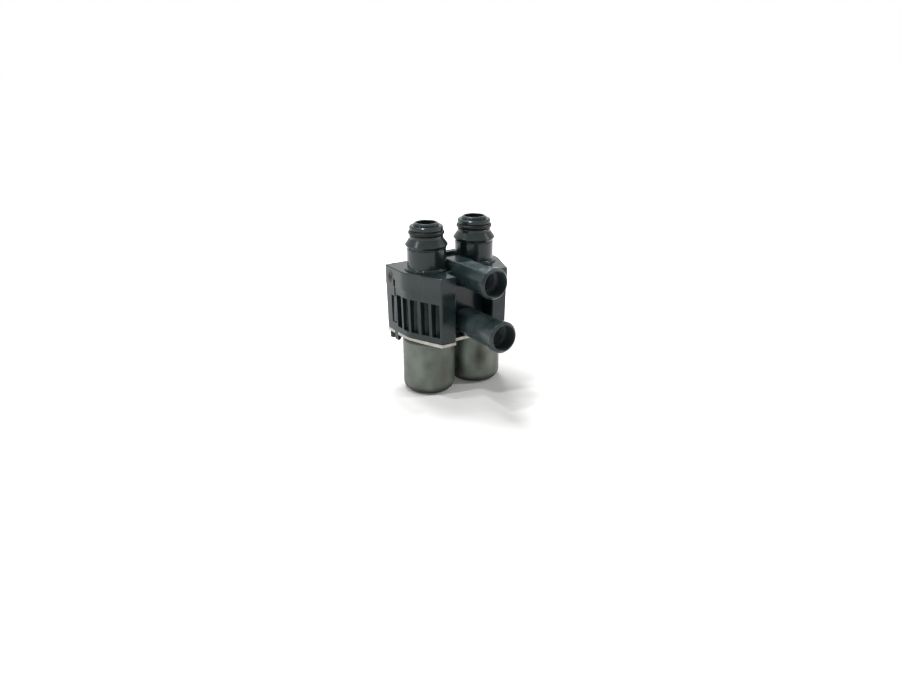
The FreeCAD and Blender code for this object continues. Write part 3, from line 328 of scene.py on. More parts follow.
def drawnSteel(name, colours, streak, roughness, metallic=1.0):
    # steel formed and finished along Z: the tone runs in upright streaks, streak mm wide
    material, tree = newMaterial(name)
    place = addNode(tree, "ShaderNodeTexCoord").outputs["Object"]
    stretched = addNode(tree, "ShaderNodeMapping", inputs={
        "Vector": place, "Scale": (1, 1, steelGrain["stretch"])})
    streaks = addNode(tree, "ShaderNodeTexNoise", inputs={
        "Vector": stretched, "Scale": perMetre(streak), "Detail": 5.0, "Roughness": 0.6})
    fine = addNode(tree, "ShaderNodeTexNoise", inputs={
        "Vector": place, "Scale": perMetre(steelGrain["fine"]), "Detail": 3.0})
    colour = addNode(tree, "ShaderNodeValToRGB", inputs={"Fac": streaks}, stops=list(zip(noiseSpan, colours)))
    rough = addNode(tree, "ShaderNodeMapRange", inputs={
        "Value": fine, "From Min": noiseSpan[0], "From Max": noiseSpan[1],
        "To Min": roughness[0], "To Max": roughness[1]})
    bump = addNode(tree, "ShaderNodeBump", inputs={
        "Strength": 0.3, "Distance": steelGrain["fineDepth"] * mm, "Height": fine})
    shader = addNode(tree, "ShaderNodeBsdfPrincipled", inputs={
        "Base Color": colour, "Metallic": metallic, "Roughness": rough, "Normal": bump})
    addNode(tree, "ShaderNodeOutputMaterial", inputs={"Surface": shader})
    return material


def plainMoulded(name, colours, roughness, ior, grain, gloss=0.5):
    # small mouldings, rubber and enamel: a colour that varies a little over grain mm
    grainDepth = 0.02  # mm
    material, tree = newMaterial(name)
    place = addNode(tree, "ShaderNodeTexCoord").outputs["Object"]
    noise = addNode(tree, "ShaderNodeTexNoise", inputs={
        "Vector": place, "Scale": perMetre(grain), "Detail": 3.0})
    colour = addNode(tree, "ShaderNodeValToRGB", inputs={"Fac": noise}, stops=list(zip(noiseSpan, colours)))
    bump = addNode(tree, "ShaderNodeBump", inputs={
        "Strength": 0.25, "Distance": grainDepth * mm, "Height": noise})
    shader = addNode(tree, "ShaderNodeBsdfPrincipled", inputs={
        "Base Color": colour, "Roughness": roughness, "IOR": ior, "Specular IOR Level": gloss,
        "Normal": bump})
    addNode(tree, "ShaderNodeOutputMaterial", inputs={"Surface": shader})
    return material


nylon = glassFilledNylon("glassFilledNylonMoulded", nylonLook)
# the same moulding inside the body, painted far paler as painted light, on a duller skin
paintedLightInsideLook = dict(nylonLook)
paintedLightInsideLook["colours"] = ((0.30, "#525a5b"), (0.52, "#616969"), (0.72, "#6e7677"))
paintedLightInsideLook["roughness"] = (0.5, 0.7)
paintedLightInsideNylon = glassFilledNylon("glassFilledNylonPaintedLightInside", paintedLightInsideLook)
finishes = {
    "body_nylon": nylon,
    "connector_plastic": nylon,
    "can_steel": passivatedCan(canLook),
    # stamped sheet, zinc plated and clear passivated
    "plate_steel": drawnSteel("zincPlatedStampedSteel", ("#96968e", "#bdbcb3"), 6, (0.38, 0.5), 0.6),
    # hardened screws, zinc plated
    "screw_steel": drawnSteel("zincPlatedScrewSteel", ("#8d8f90", "#a9abac"), 3, (0.3, 0.4)),
    # black ethylene propylene rubber, moulded
    "seal_rubber": plainMoulded("mouldedSealRubber", ("#121715", "#1b211f"), 0.38, 1.52, 0.6, gloss=0.22),
    # stamped brass, tin plated
    "terminal_metal": drawnSteel("tinPlatedBrass", ("#b3afa6", "#cfcbc2"), 2, (0.25, 0.4)),
    # natural glass-filled polyester of the coil formers
    "bobbin_plastic": plainMoulded("naturalPolyesterMoulded", ("#cfc8b4", "#ddd7c6"), 0.45, 1.55, 1.2),
    # enamelled copper wire, wound and seen as one sleeve
    "coil_copper": plainMoulded("enamelledCopperWound", ("#8a4a22", "#a8602e"), 0.35, 1.6, 0.5),
    # thin austenitic tube, drawn
    "tube_steel": drawnSteel("drawnStainlessTube", ("#a5a7a8", "#bfc1c1"), 2, (0.2, 0.3)),
    # soft magnetic stainless bar, turned
    "core_steel": drawnSteel("turnedSoftMagneticSteel", ("#8b8e90", "#a2a5a6"), 1.5, (0.25, 0.35)),
    # stainless bar and washers, turned
    "stem_steel": drawnSteel("turnedStainlessSteel", ("#a9abac", "#c2c4c4"), 1.5, (0.2, 0.3)),
    # cold drawn spring wire
    "spring_steel": drawnSteel("woundSpringWire", ("#77797a", "#929495"), 1, (0.3, 0.4)),
    # natural acetal of the cartridges
    "cartridge_plastic": plainMoulded("naturalAcetalMoulded", ("#dcdacf", "#e9e7de"), 0.4, 1.48, 1.0),
}
for entry in frame["record"]["subparts"]:
    node = frame["nodes"][entry["node"]]
    node.data.materials.clear()
    node.data.materials.append(finishes[entry["material_slot"]])
print("finishes on", len(frame["nodes"]), "nodes")


def roundCorners(points, closed=True, stepAngle=15):
    # points are (a, b) or (a, b, radius); each rounded corner becomes a short arc
    edgeShare = 0.48  # an arc takes less than half of each edge, so that two never meet
    path = []
    count = len(points)
    for i, point in enumerate(points):
        here = Vector(point[:2])
        radius = point[2] if len(point) > 2 else 0
        if radius <= 0 or (not closed and i in (0, count - 1)):
            path.append(here)
            continue
        before = Vector(points[i - 1][:2]) - here
        after = Vector(points[(i + 1) % count][:2]) - here
        opening = before.angle(after)
        reach = min(radius / math.tan(opening / 2), edgeShare * before.length, edgeShare * after.length)
        radius = reach * math.tan(opening / 2)
        inwards = (before.normalized() + after.normalized()).normalized()
        middle = here + inwards * radius / math.sin(opening / 2)
        start = here + before.normalized() * reach - middle
        turn = start.angle_signed(here + after.normalized() * reach - middle)
        steps = max(2, round(math.degrees(abs(turn)) / stepAngle))
        for step in range(steps + 1):
            path.append(middle + Matrix.Rotation(-turn * step / steps, 2) @ start)
    return [tuple(p) for p in path]


def lathe(bm, profile, centre, axis="Z", closed=True, sides=96, extraAngles=(), shape=None):
    # profile is (radius, height along the axis); a point of radius 0 closes into a pole
    angles = sorted(set([360 * i / sides for i in range(sides)] + [a % 360 for a in extraAngles]))
    rings = []
    for angle in angles:
        c, s = math.cos(math.radians(angle)), math.sin(math.radians(angle))
        ring = []
        for radius, along in profile:
            if axis == "Z":
                place = (centre[0] + radius * c, centre[1] + radius * s, along)
            else:
                place = (centre[0] + radius * s, along, centre[1] + radius * c)
            if shape:
                place = shape(*place)
            ring.append(bm.verts.new(Vector(place) * mm))
        rings.append(ring)
    last = len(profile) if closed else len(profile) - 1
    for ring, following in zip(rings, rings[1:] + rings[:1]):
        for i in range(last):
            j = (i + 1) % len(profile)
            bm.faces.new((ring[i], ring[j], following[j], following[i]))


def extrude(bm, outline, low, high, axis):
    # outline is (y, z) along X or (x, z) along Y or (x, y) along Z
    def place(a, b, along):
        return {"X": (along, a, b), "Y": (a, along, b), "Z": (a, b, along)}[axis]
    ends = [[bm.verts.new(Vector(place(a, b, along)) * mm) for a, b in outline] for along in (low, high)]
    for end in ends:
        bm.faces.new(end)
    for i in range(len(outline)):
        j = (i + 1) % len(outline)
        bm.faces.new((ends[0][i], ends[0][j], ends[1][j], ends[1][i]))


def bakeModifiers(piece):
    graph = bpy.context.evaluated_depsgraph_get()
    finished = bpy.data.meshes.new_from_object(piece.evaluated_get(graph))
    piece.modifiers.clear()
    piece.data = finished


def newPiece(name, bm, edge=0.0, sharp=35):
    # merges the seams, turns the faces outwards and breaks the edges, edge mm wide
    bmesh.ops.remove_doubles(bm, verts=bm.verts, dist=0.0005 * mm)
    bmesh.ops.dissolve_degenerate(bm, edges=bm.edges, dist=0.0002 * mm)
    bmesh.ops.recalc_face_normals(bm, faces=bm.faces)
    mesh = bpy.data.meshes.new(name)
    bm.to_mesh(mesh)
    bm.free()
    piece = bpy.data.objects.new(name, mesh)
    scene.collection.objects.link(piece)
    if edge:
        bevel = piece.modifiers.new("brokenEdges", "BEVEL")
        bevel.width = edge * mm
        bevel.segments = 2
        bevel.limit_method = "ANGLE"
        bevel.angle_limit = math.radians(sharp)
        bakeModifiers(piece)
    return piece


def dress(piece, finish=None, body="base", slot="body_nylon", instead=("valve_body",), sharp=32):
    mesh = piece.data
    mesh.materials.clear()
    mesh.materials.append(finish or finishes[slot])
    for polygon in mesh.polygons:
        polygon.use_smooth = True
    mesh.set_sharp_from_angle(angle=math.radians(sharp))
    weighted = piece.modifiers.new("evenShading", "WEIGHTED_NORMAL")  # wide faces keep their own direction
    weighted.keep_sharp = True
    bakeModifiers(piece)
    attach(piece, body)
    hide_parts(*instead)
    print(piece.name, len(mesh.polygons), "faces")


def newTree(name, sockets):
    # sockets maps each input to its kind; every tree also takes a finish and gives one piece
    tree = bpy.data.node_groups.new(name, "GeometryNodeTree")
    for socket, kind in dict(sockets, Finish="Material").items():
        tree.interface.new_socket(socket, in_out="INPUT", socket_type="NodeSocket" + kind)
    tree.interface.new_socket("Piece", in_out="OUTPUT", socket_type="NodeSocketGeometry")
    return tree, addNode(tree, "NodeGroupInput").outputs


def closeTree(tree, geometry, finish):
    realized = addNode(tree, "GeometryNodeRealizeInstances", inputs={"Geometry": geometry})
    finished = addNode(tree, "GeometryNodeSetMaterial", inputs={"Geometry": realized, "Material": finish})
    addNode(tree, "NodeGroupOutput", inputs={"Piece": finished})


def growFromTree(name, tree, sizes, finish):
    piece = bpy.data.objects.new(name, bpy.data.meshes.new(name))
    scene.collection.objects.link(piece)
    modifier = piece.modifiers.new(name, "NODES")
    modifier.node_group = tree
    values = dict(sizes, Finish=finish)
    for item in tree.interface.items_tree:
        if item.in_out == "INPUT":
            modifier[item.identifier] = values[item.name]
    bakeModifiers(piece)
    return piece


valveX = 20.55  # mm, each valve's distance from the middle
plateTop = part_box("yoke_plate")[1][2] / mm

shellSizes = {
    # corners of half the plan as (x, y): rear, side, front, nook, and the recess between the lobes
    "skirtLow": ((39.2, 27.3), (39.1, -2.4), (27.2, -29.3), (15.4, -29.3), (15.4, -17.0)),
    "skirtTop": ((40.1, 27.3), (39.9, -2.4), (27.9, -29.9), (15.4, -29.9), (15.4, -17.0)),
    "collar": ((40.3, 27.3), (41.2, -0.5), (28.3, -30.4), (15.4, -30.4), (15.4, -17.0)),
    "inside": ((36.8, 24.9), (36.7, -2.4), (24.7, -27.4), (17.8, -27.4), (17.8, -14.6)),
    "sideRound": 22.0,
    "cornerRound": 1.2,
    "rimRound": 0.7,
    "rimSteps": 5,
    "height": 48.5,
    "skirtHeight": 34.1,     # where the skirt starts to widen into the collar
    "collarStart": 35.5,
    "deckThick": 3.0,
    # y of the columns of the side wall, which take in both ends of every opening
    "sideColumns": (22.5, 19.7, 17.2, 14.8, 13.3, 12.1, 9.0, 5.9, 4.8, 3.7, 2.6, 1.5, 0.4, -0.7, -1.6, -2.5,
                    -3.6, -4.7, -5.8, -7.0, -8.9, -10.9, -13.1, -16.2, -19.3, -21.5, -24.6, -27.7),
    "rearColumn": 25.0,      # x of one column of the rear wall; the side wall lies further out
    "recessColumn": 0.6,     # of the recess
    # openings as y from, y to, height from, height to
    "slots": [(-27.7 + 8.4 * i, -21.5 + 8.4 * i, 4.5, 29.2) for i in range(5)],
    "hookWindow": [(13.3, 19.7, 6.6, 27.2), (13.3, 14.8, 27.2, 35.5), (12.1, 14.8, 35.5, 40.3)],
    "connectorWindow": (10.25, 9.65, 21.35),  # half width, height from, height to
    "deckSlot": (34.4, 25.2, 3.6, 1.2),       # x, y, length, width
    "deckBore": (0.9, 8.5, 64),               # y, radius and sides of the hole under each stub
    "edge": 0.28,
    "edgeAngle": 50,         # degrees, so that the slope under the collar stays soft
    "tolerance": 0.2,        # mm, how near its wall the middle of an opening's cell is
}


def sideLine(outline, y, bend):
    # x of the side wall at y: two straight runs joined by a wide arc
    rear, side, front = (Vector(corner) for corner in outline[:3])
    back, fore = (rear - side).normalized(), (front - side).normalized()
    opening = back.angle(fore)
    reach = bend / math.tan(opening / 2)
    first, second = side + back * reach, side + fore * reach
    if y > first.y:
        return rear.x + (side.x - rear.x) * (y - rear.y) / (side.y - rear.y)
    if y < second.y:
        return side.x + (front.x - side.x) * (y - side.y) / (front.y - side.y)
    middle = side + (back + fore).normalized() * bend / math.sin(opening / 2)
    return middle.x + math.sqrt(bend ** 2 - (y - middle.y) ** 2)


def cornerArc(before, here, after, radius, steps=4):
    path = roundCorners([before, (here[0], here[1], radius), after], closed=False, stepAngle=1)
    arc = path[1:-1]
    return [arc[round(i * (len(arc) - 1) / steps)] for i in range(steps + 1)]


def halfPlan(outline, sizes):
    # one half of the plan, from the middle of the rear wall round to the middle of the recess
    rear, side, front, nook, recess = outline
    corner = sizes["cornerRound"]
    columns = [(x, rear[1]) for x in (0.0, sizes["connectorWindow"][0], sizes["rearColumn"])]
    columns += cornerArc((0, rear[1]), rear, side, corner)
    lowest = front[1] + corner * 0.9  # the columns stop short of the front corner's arc
    for y in sizes["sideColumns"]:
        y = max(y, lowest)
        columns.append((sideLine(outline, y, sizes["sideRound"]), y))
    columns += cornerArc(side, front, nook, corner)
    columns += cornerArc(front, nook, recess, corner)
    columns += [(recess[0], (nook[1] + recess[1]) / 2), recess]
    columns += [(recess[0] * sizes["recessColumn"], recess[1]), (0.0, recess[1])]
    return columns


def wholePlan(outline, sizes):
    half = halfPlan(outline, sizes)
    return half + [(-x, y) for x, y in reversed(half[1:-1])]


def insetPlan(outline, depth):
    rear, side, front, nook, recess = outline
    return (
        (rear[0] - depth, rear[1] - depth),
        (side[0] - depth, side[1]),
        (front[0] - depth, front[1] + depth),
        (nook[0] + depth, nook[1] + depth),
        (recess[0] + depth, recess[1] + depth),
    )


def blendPlan(first, second, part):
    return tuple((a[0] + (b[0] - a[0]) * part, a[1] + (b[1] - a[1]) * part) for a, b in zip(first, second))


def shellRows(sizes):
    # the plans of the outer and inner skin from the plate up, and the heights where an opening can start
    skirt, start, top, rim = (sizes[key] for key in ("skirtHeight", "collarStart", "height", "rimRound"))
    heights = {0.0, skirt, start, *sizes["connectorWindow"][1:]}
    for opening in sizes["slots"] + sizes["hookWindow"]:
        heights.update(opening[2:])
    heights = sorted(heights)
    outerRows = []
    for height in heights:
        if height <= skirt:
            outerRows.append((height, blendPlan(sizes["skirtLow"], sizes["skirtTop"], height / skirt)))
        else:
            outerRows.append((height, sizes["collar"]))
    for step in range(sizes["rimSteps"] + 1):
        turn = math.radians(90 * step / sizes["rimSteps"])
        plan = insetPlan(sizes["collar"], rim * (1 - math.cos(turn)))
        outerRows.append((top - rim + rim * math.sin(turn), plan))
    innerRows = [(height, sizes["inside"]) for height in heights + [top - sizes["deckThick"]]]
    return outerRows, innerRows, heights


def fillDeck(bm, outerRing, innerRing, sizes):
    # closes the top of both skins round the two slots and the two bores
    slotX, slotY, length, width = sizes["deckSlot"]
    boreY, boreRadius, boreSides = sizes["deckBore"]
    turns = [math.radians(360 * i / boreSides) for i in range(boreSides)]
    holes = []
    for side in (-1, 1):
        holes.append([(side * slotX + a * length / 2, slotY + b * width / 2)
                      for a, b in ((-1, -1), (1, -1), (1, 1), (-1, 1))])
        holes.append([(side * valveX + boreRadius * math.cos(turn), boreY + boreRadius * math.sin(turn))
                      for turn in turns])
    deckLoops = []
    for verts in (outerRing, innerRing):
        level = verts[0].co.z / mm
        edges = [bm.edges.get((verts[i - 1], verts[i])) for i in range(len(verts))]
        loops = []
        for hole in holes:
            loop = [bm.verts.new(Vector((x, y, level)) * mm) for x, y in hole]
            edges += [bm.edges.new((loop[i - 1], loop[i])) for i in range(len(loop))]
            loops.append(loop)
        bmesh.ops.triangle_fill(bm, use_beauty=True, use_dissolve=False, edges=edges)
        deckLoops.append(loops)
    for above, below in zip(*deckLoops):
        for i in range(len(above)):
            bm.faces.new((above[i - 1], above[i], below[i], below[i - 1]))


def buildShell(sizes):
    bm = bmesh.new()
    outerRows, innerRows, heights = shellRows(sizes)
    outer, inner = [], []
    for skin, rows in ((outer, outerRows), (inner, innerRows)):
        for height, plan in rows:
            ring = wholePlan(plan, sizes)
            skin.append([bm.verts.new(Vector((x, y, plateTop + height)) * mm) for x, y in ring])
    plan = wholePlan(sizes["skirtLow"], sizes)
    around = len(plan)
    rearY = sizes["skirtLow"][0][1]
    half, low, high = sizes["connectorWindow"]
    near = sizes["tolerance"]

    def isOpen(column, row):
        if row + 1 >= len(heights):
            return False
        (x0, y0), (x1, y1) = plan[column], plan[(column + 1) % around]
        x, y, z = (x0 + x1) / 2, (y0 + y1) / 2, (heights[row] + heights[row + 1]) / 2
        if abs(y - rearY) < near and abs(x) < half and low < z < high:
            return True
        offWall = abs(abs(x) - sideLine(sizes["skirtLow"], y, sizes["sideRound"]))
        if abs(x) < sizes["rearColumn"] or offWall > near:
            return False
        return any(a < y < b and c < z < d for a, b, c, d in sizes["slots"] + sizes["hookWindow"])

    for skin in (outer, inner):
        for row in range(len(skin) - 1):
            for column in range(around):
                following = (column + 1) % around
                if not isOpen(column, row):
                    bm.faces.new((skin[row][column], skin[row][following],
                                  skin[row + 1][following], skin[row + 1][column]))
    # the walls of the openings, and the sill all round
    for row in range(len(heights) - 1):
        for column in range(around):
            if not isOpen(column, row):
                continue
            following = (column + 1) % around
            a, b, c, d = (row, column), (row, following), (row + 1, following), (row + 1, column)
            for p, q, beside in ((a, b, (column, row - 1)), (b, c, (following, row)),
                                 (c, d, (column, row + 1)), (d, a, ((column - 1) % around, row))):
                if beside[1] >= 0 and not isOpen(*beside):
                    bm.faces.new((outer[p[0]][p[1]], outer[q[0]][q[1]], inner[q[0]][q[1]], inner[p[0]][p[1]]))
    for column in range(around):
        following = (column + 1) % around
        bm.faces.new((outer[0][column], outer[0][following], inner[0][following], inner[0][column]))
    fillDeck(bm, outer[-1], inner[-1], sizes)
    shell = newPiece("valveBodyShell", bm, sizes["edge"], sizes["edgeAngle"])
    dress(shell, sharp=sizes["edgeAngle"])


buildShell(shellSizes)


ribSizes = {
    "Rib count": 4,
    "First rib": -20.4,      # mm, y of the middle of the rib nearest the ports
    "Pitch": 8.4,
    "Thickness": 2.0,
    "Draft": 0.3,            # how much thicker a rib is at the deck
    "Tower middle": 20.55,   # the ribs end in the wall of the tower, clear of its chamber
    "Tower reach": 11.9,
    "First extra": 3.95,     # the first rib passes the tower and ends in the wall of the recess
    "Outer end": 37.9,
    "Corner": -2.4,          # y where the wall starts to slant
    "Slant": 0.4124,
    "Bottom": 45.75,
    "Top": 90.5,
}


def ribTree():
    # each rib reaches from its tower to just inside the wall, whose line it follows
    kinds = {name: "Int" if name == "Rib count" else "Float" for name in ribSizes}
    tree, given = newTree("coolingRibTree", kinds)
    position = addNode(tree, "GeometryNodeInputPosition")
    normal = addNode(tree, "GeometryNodeInputNormal")
    known = dict(given.items())
    known["number"] = addNode(tree, "GeometryNodeInputIndex")
    known["level"] = addNode(tree, "ShaderNodeSeparateXYZ", inputs={0: position}).outputs["Z"]
    known["facing"] = addNode(tree, "ShaderNodeSeparateXYZ", inputs={0: normal}).outputs["Y"]
    for result, operation, *terms in (
            ("y", "MULTIPLY_ADD", "number", "Pitch", "First rib"),
            ("toCorner", "SUBTRACT", "Corner", "y"),
            ("run", "MULTIPLY_ADD", "Thickness", 0.5, "toCorner"),
            ("cut", "MULTIPLY", "run", "Slant"),
            ("slanted", "SUBTRACT", "Outer end", "cut"),
            ("outer", "MINIMUM", "Outer end", "slanted"),
            ("towerSquare", "MULTIPLY", "Tower reach", "Tower reach"),
            ("ySquare", "MULTIPLY", "y", "y"),
            ("left", "SUBTRACT", "towerSquare", "ySquare"),
            ("leftOver", "MAXIMUM", "left", 0.0),
            ("reach", "SQRT", "leftOver"),
            ("towerEnd", "ADD", "Tower middle", "reach"),
            ("isFirst", "LESS_THAN", "number", 0.5),
            ("extra", "MULTIPLY", "isFirst", "First extra"),
            ("inner", "SUBTRACT", "towerEnd", "extra"),
            ("length", "SUBTRACT", "outer", "inner"),
            ("x", "MULTIPLY_ADD", "length", 0.5, "inner"),
            ("height", "SUBTRACT", "Top", "Bottom"),
            ("z", "MULTIPLY_ADD", "height", 0.5, "Bottom"),
            ("above", "SUBTRACT", "level", "Bottom"),
            ("rise", "DIVIDE", "above", "height"),
            ("halfDraft", "MULTIPLY", "Draft", 0.5),
            ("widening", "MULTIPLY", "rise", "halfDraft"),
            ("way", "SIGN", "facing"),
            ("push", "MULTIPLY", "way", "widening")):
        known[result] = addNode(tree, "ShaderNodeMath", {"operation": operation}, {
            number: known.get(term, term) for number, term in enumerate(terms)})
    middle = addNode(tree, "ShaderNodeCombineXYZ", inputs={axis: known[axis.lower()] for axis in "XYZ"})
    size = addNode(tree, "ShaderNodeCombineXYZ", inputs={
        "X": known["length"], "Y": known["Thickness"], "Z": known["height"]})
    line = addNode(tree, "GeometryNodeMeshLine", inputs={"Count": known["Rib count"]})
    placed = addNode(tree, "GeometryNodeSetPosition", inputs={"Geometry": line, "Position": middle})
    block = addNode(tree, "GeometryNodeMeshCube", inputs={"Size": (1, 1, 1)})
    ribs = addNode(tree, "GeometryNodeInstanceOnPoints", inputs={
        "Points": placed, "Instance": block, "Scale": size})
    solid = addNode(tree, "GeometryNodeRealizeInstances", inputs={"Geometry": ribs})
    push = addNode(tree, "ShaderNodeCombineXYZ", inputs={"Y": known["push"]})
    drafted = addNode(tree, "GeometryNodeSetPosition", inputs={"Geometry": solid, "Offset": push})
    scaled = addNode(tree, "GeometryNodeTransform", inputs={"Geometry": drafted, "Scale": (mm, mm, mm)})
    turned = addNode(tree, "GeometryNodeTransform", inputs={"Geometry": scaled, "Scale": (-1, 1, 1)})
    flipped = addNode(tree, "GeometryNodeFlipFaces", inputs={"Mesh": turned})
    both = addNode(tree, "GeometryNodeJoinGeometry")
    for half in (scaled, flipped):
        tree.links.new(half.outputs[0], both.inputs[0])
    closeTree(tree, both, given["Finish"])
    return tree


coolingRibs = growFromTree("coolingRibs", ribTree(), ribSizes, paintedLightInsideNylon)
dress(coolingRibs, paintedLightInsideNylon)


towerSizes = {
    "chamber": 11.0,         # mm, radius, as the other radii
    "outside": 13.2,
    "top": 91.0,
    "upperChamber": 9.8,     # above the step
    "step": 65.6,
    "roof": 85.0,
    "roofHole": 8.0,
    # the spine between the towers, which joins them to the wall of the recess
    "spine": [(-11.2, -15.8), (11.2, -15.8), (11.2, 12.0), (-11.2, 12.0)],
    "spineTop": 90.5,
    "bosses": ((29.5, 21.4), (-29.5, 21.4), (0, 14.6)),
    "bossRadius": 4.3,
    "bossTop": 54.9,
    "bossRound": 0.5,
    "edge": 0.25,
}


def buildTowers(sizes):
    bm = bmesh.new()
    chamber, outside, hole, upper = (sizes[key] for key in ("chamber", "outside", "roofHole", "upperChamber"))
    top, roof, step = sizes["top"], sizes["roof"], sizes["step"]
    wall = [(chamber, plateTop), (outside, plateTop), (outside, top), (hole, top), (hole, roof),
            (upper, roof), (upper, step), (chamber, step)]
    for side in (-1, 1):
        lathe(bm, wall, (side * valveX, 0))
    extrude(bm, sizes["spine"], plateTop, sizes["spineTop"], "Z")
    radius, bossTop = sizes["bossRadius"], sizes["bossTop"]
    boss = [(0, plateTop), (radius, plateTop), (radius, bossTop, sizes["bossRound"]), (0, bossTop)]
    for place in sizes["bosses"]:
        lathe(bm, roundCorners(boss, closed=False), place, closed=False, sides=48)
    dress(newPiece("valveTowers", bm, sizes["edge"]), paintedLightInsideNylon)


buildTowers(towerSizes)


stubSizes = {
    "back": 0.9,  # mm behind the valve's own axis
    "sides": 128,
    # radius, height above the floor, rounding; up the bore, over the lip and down the outside
    "profile": (
        (7.0, 84.9), (7.0, 125.3, 0.5), (8.3, 125.3, 0.5), (9.4, 123.95, 0.5), (9.05, 123.3, 0.15),
        (11.3, 123.3, 0.3), (12.1, 122.5, 0.3), (12.1, 120.3, 0.3), (9.35, 120.3, 0.2), (9.35, 116.5, 0.2),
        (12.1, 116.5, 0.3), (12.1, 114.1, 0.25), (12.4, 114.1, 0.2), (15.24, 110.1, 0.3), (15.24, 109.6, 0.3),
        (14.1, 107.6, 0.2), (13.6, 107.6, 0.15), (13.6, 106.8, 0.15), (14.1, 106.8, 0.2), (14.1, 93.0, 0.8),
        (16.2, 93.0, 0.5), (16.2, 90.6), (10.5, 90.6), (10.5, 84.9),
    ),
}


def buildStubs(sizes):
    for side, word in ((-1, "left"), (1, "right")):
        bm = bmesh.new()
        lathe(bm, roundCorners(sizes["profile"]), (side * valveX, sizes["back"]), sides=sizes["sides"])
        dress(newPiece(word + "QuickConnectStub", bm))


buildStubs(stubSizes)


portSizes = {
    "outside": 10.1,         # mm, radius, as bead and mouth
    "nose": 0.3,             # how much narrower the tip is
    "bead": 11.2,
    "beadStart": 1.7,        # mm from the tip
    "beadLength": 3.5,
    "beadFall": 1.0,
    "mouth": 8.9,
    "mouthChamfer": 0.4,
    "mouthLength": 10.0,
    "mouthFall": 1.4,
    "boreEnd": -13.0,        # y, as the next two
    "rootStart": -19.4,
    "rootFull": -17.0,
    "flatStart": 12.4,       # mm from the tip
    "flatStep": 0.02,        # half the length of the step down to the flat
    "flatSoft": 0.8,         # mm over which the flat runs into the round
    "flatAngles": (-5.0, -2.5, -1.0, 0.0, 1.0, 2.5),  # degrees from that edge
    "upper": {"height": 89.7, "tip": -54.7, "bore": 6.8, "root": 10.8, "rear": -1.0, "flat": 98.0},
    "lower": {"height": 54.1, "tip": -65.3, "bore": 8.0, "root": 10.5, "rear": -5.4, "flat": None},
}


def buildPort(name, sizes, port):
    tip, bore, rear, flat = port["tip"], port["bore"], port["rear"], port["flat"]
    outside, bead, mouth, chamfer = (sizes[key] for key in ("outside", "bead", "mouth", "mouthChamfer"))
    flatStart = tip + sizes["flatStart"]
    beadStart = tip + sizes["beadStart"]
    beadEnd = beadStart + sizes["beadLength"]
    mouthEnd = tip + sizes["mouthLength"]
    # radius, y, rounding; from inside the bore, over the tip and back along the outside
    profile = [
        (0, sizes["boreEnd"]), (bore, sizes["boreEnd"]), (bore, mouthEnd + sizes["mouthFall"]),
        (mouth, mouthEnd), (mouth, tip + chamfer), (mouth + chamfer, tip, 0.15),
        (outside - sizes["nose"], tip, 0.3), (bead, beadStart, 0.9), (bead, beadEnd, 0.6),
        (outside, beadEnd + sizes["beadFall"], 0.4), (outside, flatStart - sizes["flatStep"]),
        (outside, flatStart + sizes["flatStep"]), (outside, sizes["rootStart"]),
        (port["root"], sizes["rootFull"]), (port["root"], rear), (0, rear),
    ]
    shape, extra = None, ()
    if flat:
        half = math.degrees(math.acos((flat - port["height"]) / outside))
        extra = [side * (half + turn) for side in (-1, 1) for turn in sizes["flatAngles"]]

        def shape(x, y, z):
            # the top of the pipe is cut level, and the edge of the flat is softened
            if y < flatStart or abs(x) > bead:
                return (x, y, z)
            soft = max(sizes["flatSoft"] - abs(z - flat), 0) ** 2 / (4 * sizes["flatSoft"])
            return (x, y, min(z, flat) - soft)
    bm = bmesh.new()
    lathe(bm, roundCorners(profile, closed=False), (0, port["height"]), "Y", False,
          extraAngles=extra, shape=shape)
    dress(newPiece(name, bm))


buildPort("upperHosePort", portSizes, portSizes["upper"])
buildPort("lowerHosePort", portSizes, portSizes["lower"])


springSizes = {
    "Turns": 6.0,
    "Coil radius": 2.45,
    "Wire radius": 0.4,
    "Travel": 3.4,  # mm that each armature squeezes its spring by
}


def springTree():
    # round wire wound at an even pitch, standing on the floor of the pocket in the fixed core
    names = ("Turns", "Coil radius", "Wire radius", "Side", "Low", "High")
    tree, given = newTree("returnSpringTree", dict.fromkeys(names, "Float"))
    wireRadius = given["Wire radius"]
    start = addNode(tree, "ShaderNodeMath", {"operation": "ADD"}, {0: given["Low"], 1: wireRadius})
    end = addNode(tree, "ShaderNodeMath", {"operation": "SUBTRACT"}, {0: given["High"], 1: wireRadius})
    rise = addNode(tree, "ShaderNodeMath", {"operation": "SUBTRACT"}, {0: end, 1: start})
    coil = addNode(tree, "GeometryNodeCurveSpiral", inputs={
        "Resolution": 32, "Rotations": given["Turns"], "Start Radius": given["Coil radius"],
        "End Radius": given["Coil radius"], "Height": rise})
    wire = addNode(tree, "GeometryNodeCurvePrimitiveCircle", inputs={
        "Resolution": 16, "Radius": wireRadius})
    swept = addNode(tree, "GeometryNodeCurveToMesh", inputs={
        "Curve": coil, "Profile Curve": wire, "Fill Caps": True})
    place = addNode(tree, "ShaderNodeCombineXYZ", inputs={"X": given["Side"], "Z": start})
    placed = addNode(tree, "GeometryNodeTransform", inputs={"Geometry": swept, "Translation": place})
    scaled = addNode(tree, "GeometryNodeTransform", inputs={"Geometry": placed, "Scale": (mm, mm, mm)})
    closeTree(tree, scaled, given["Finish"])
    return tree


def windSprings(sizes):
    tree = springTree()
    for side, word in ((-1, "left"), (1, "right")):
        low, high = (corner[2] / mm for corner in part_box(word + "_return_spring"))
        given = dict(sizes, Side=side * valveX, Low=low, High=high)
        spring = growFromTree(word + "ReturnSpring", tree, given, finishes["spring_steel"])
        dress(spring, slot="spring_steel", instead=(word + "_return_spring",))
        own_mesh(spring)


windSprings(springSizes)


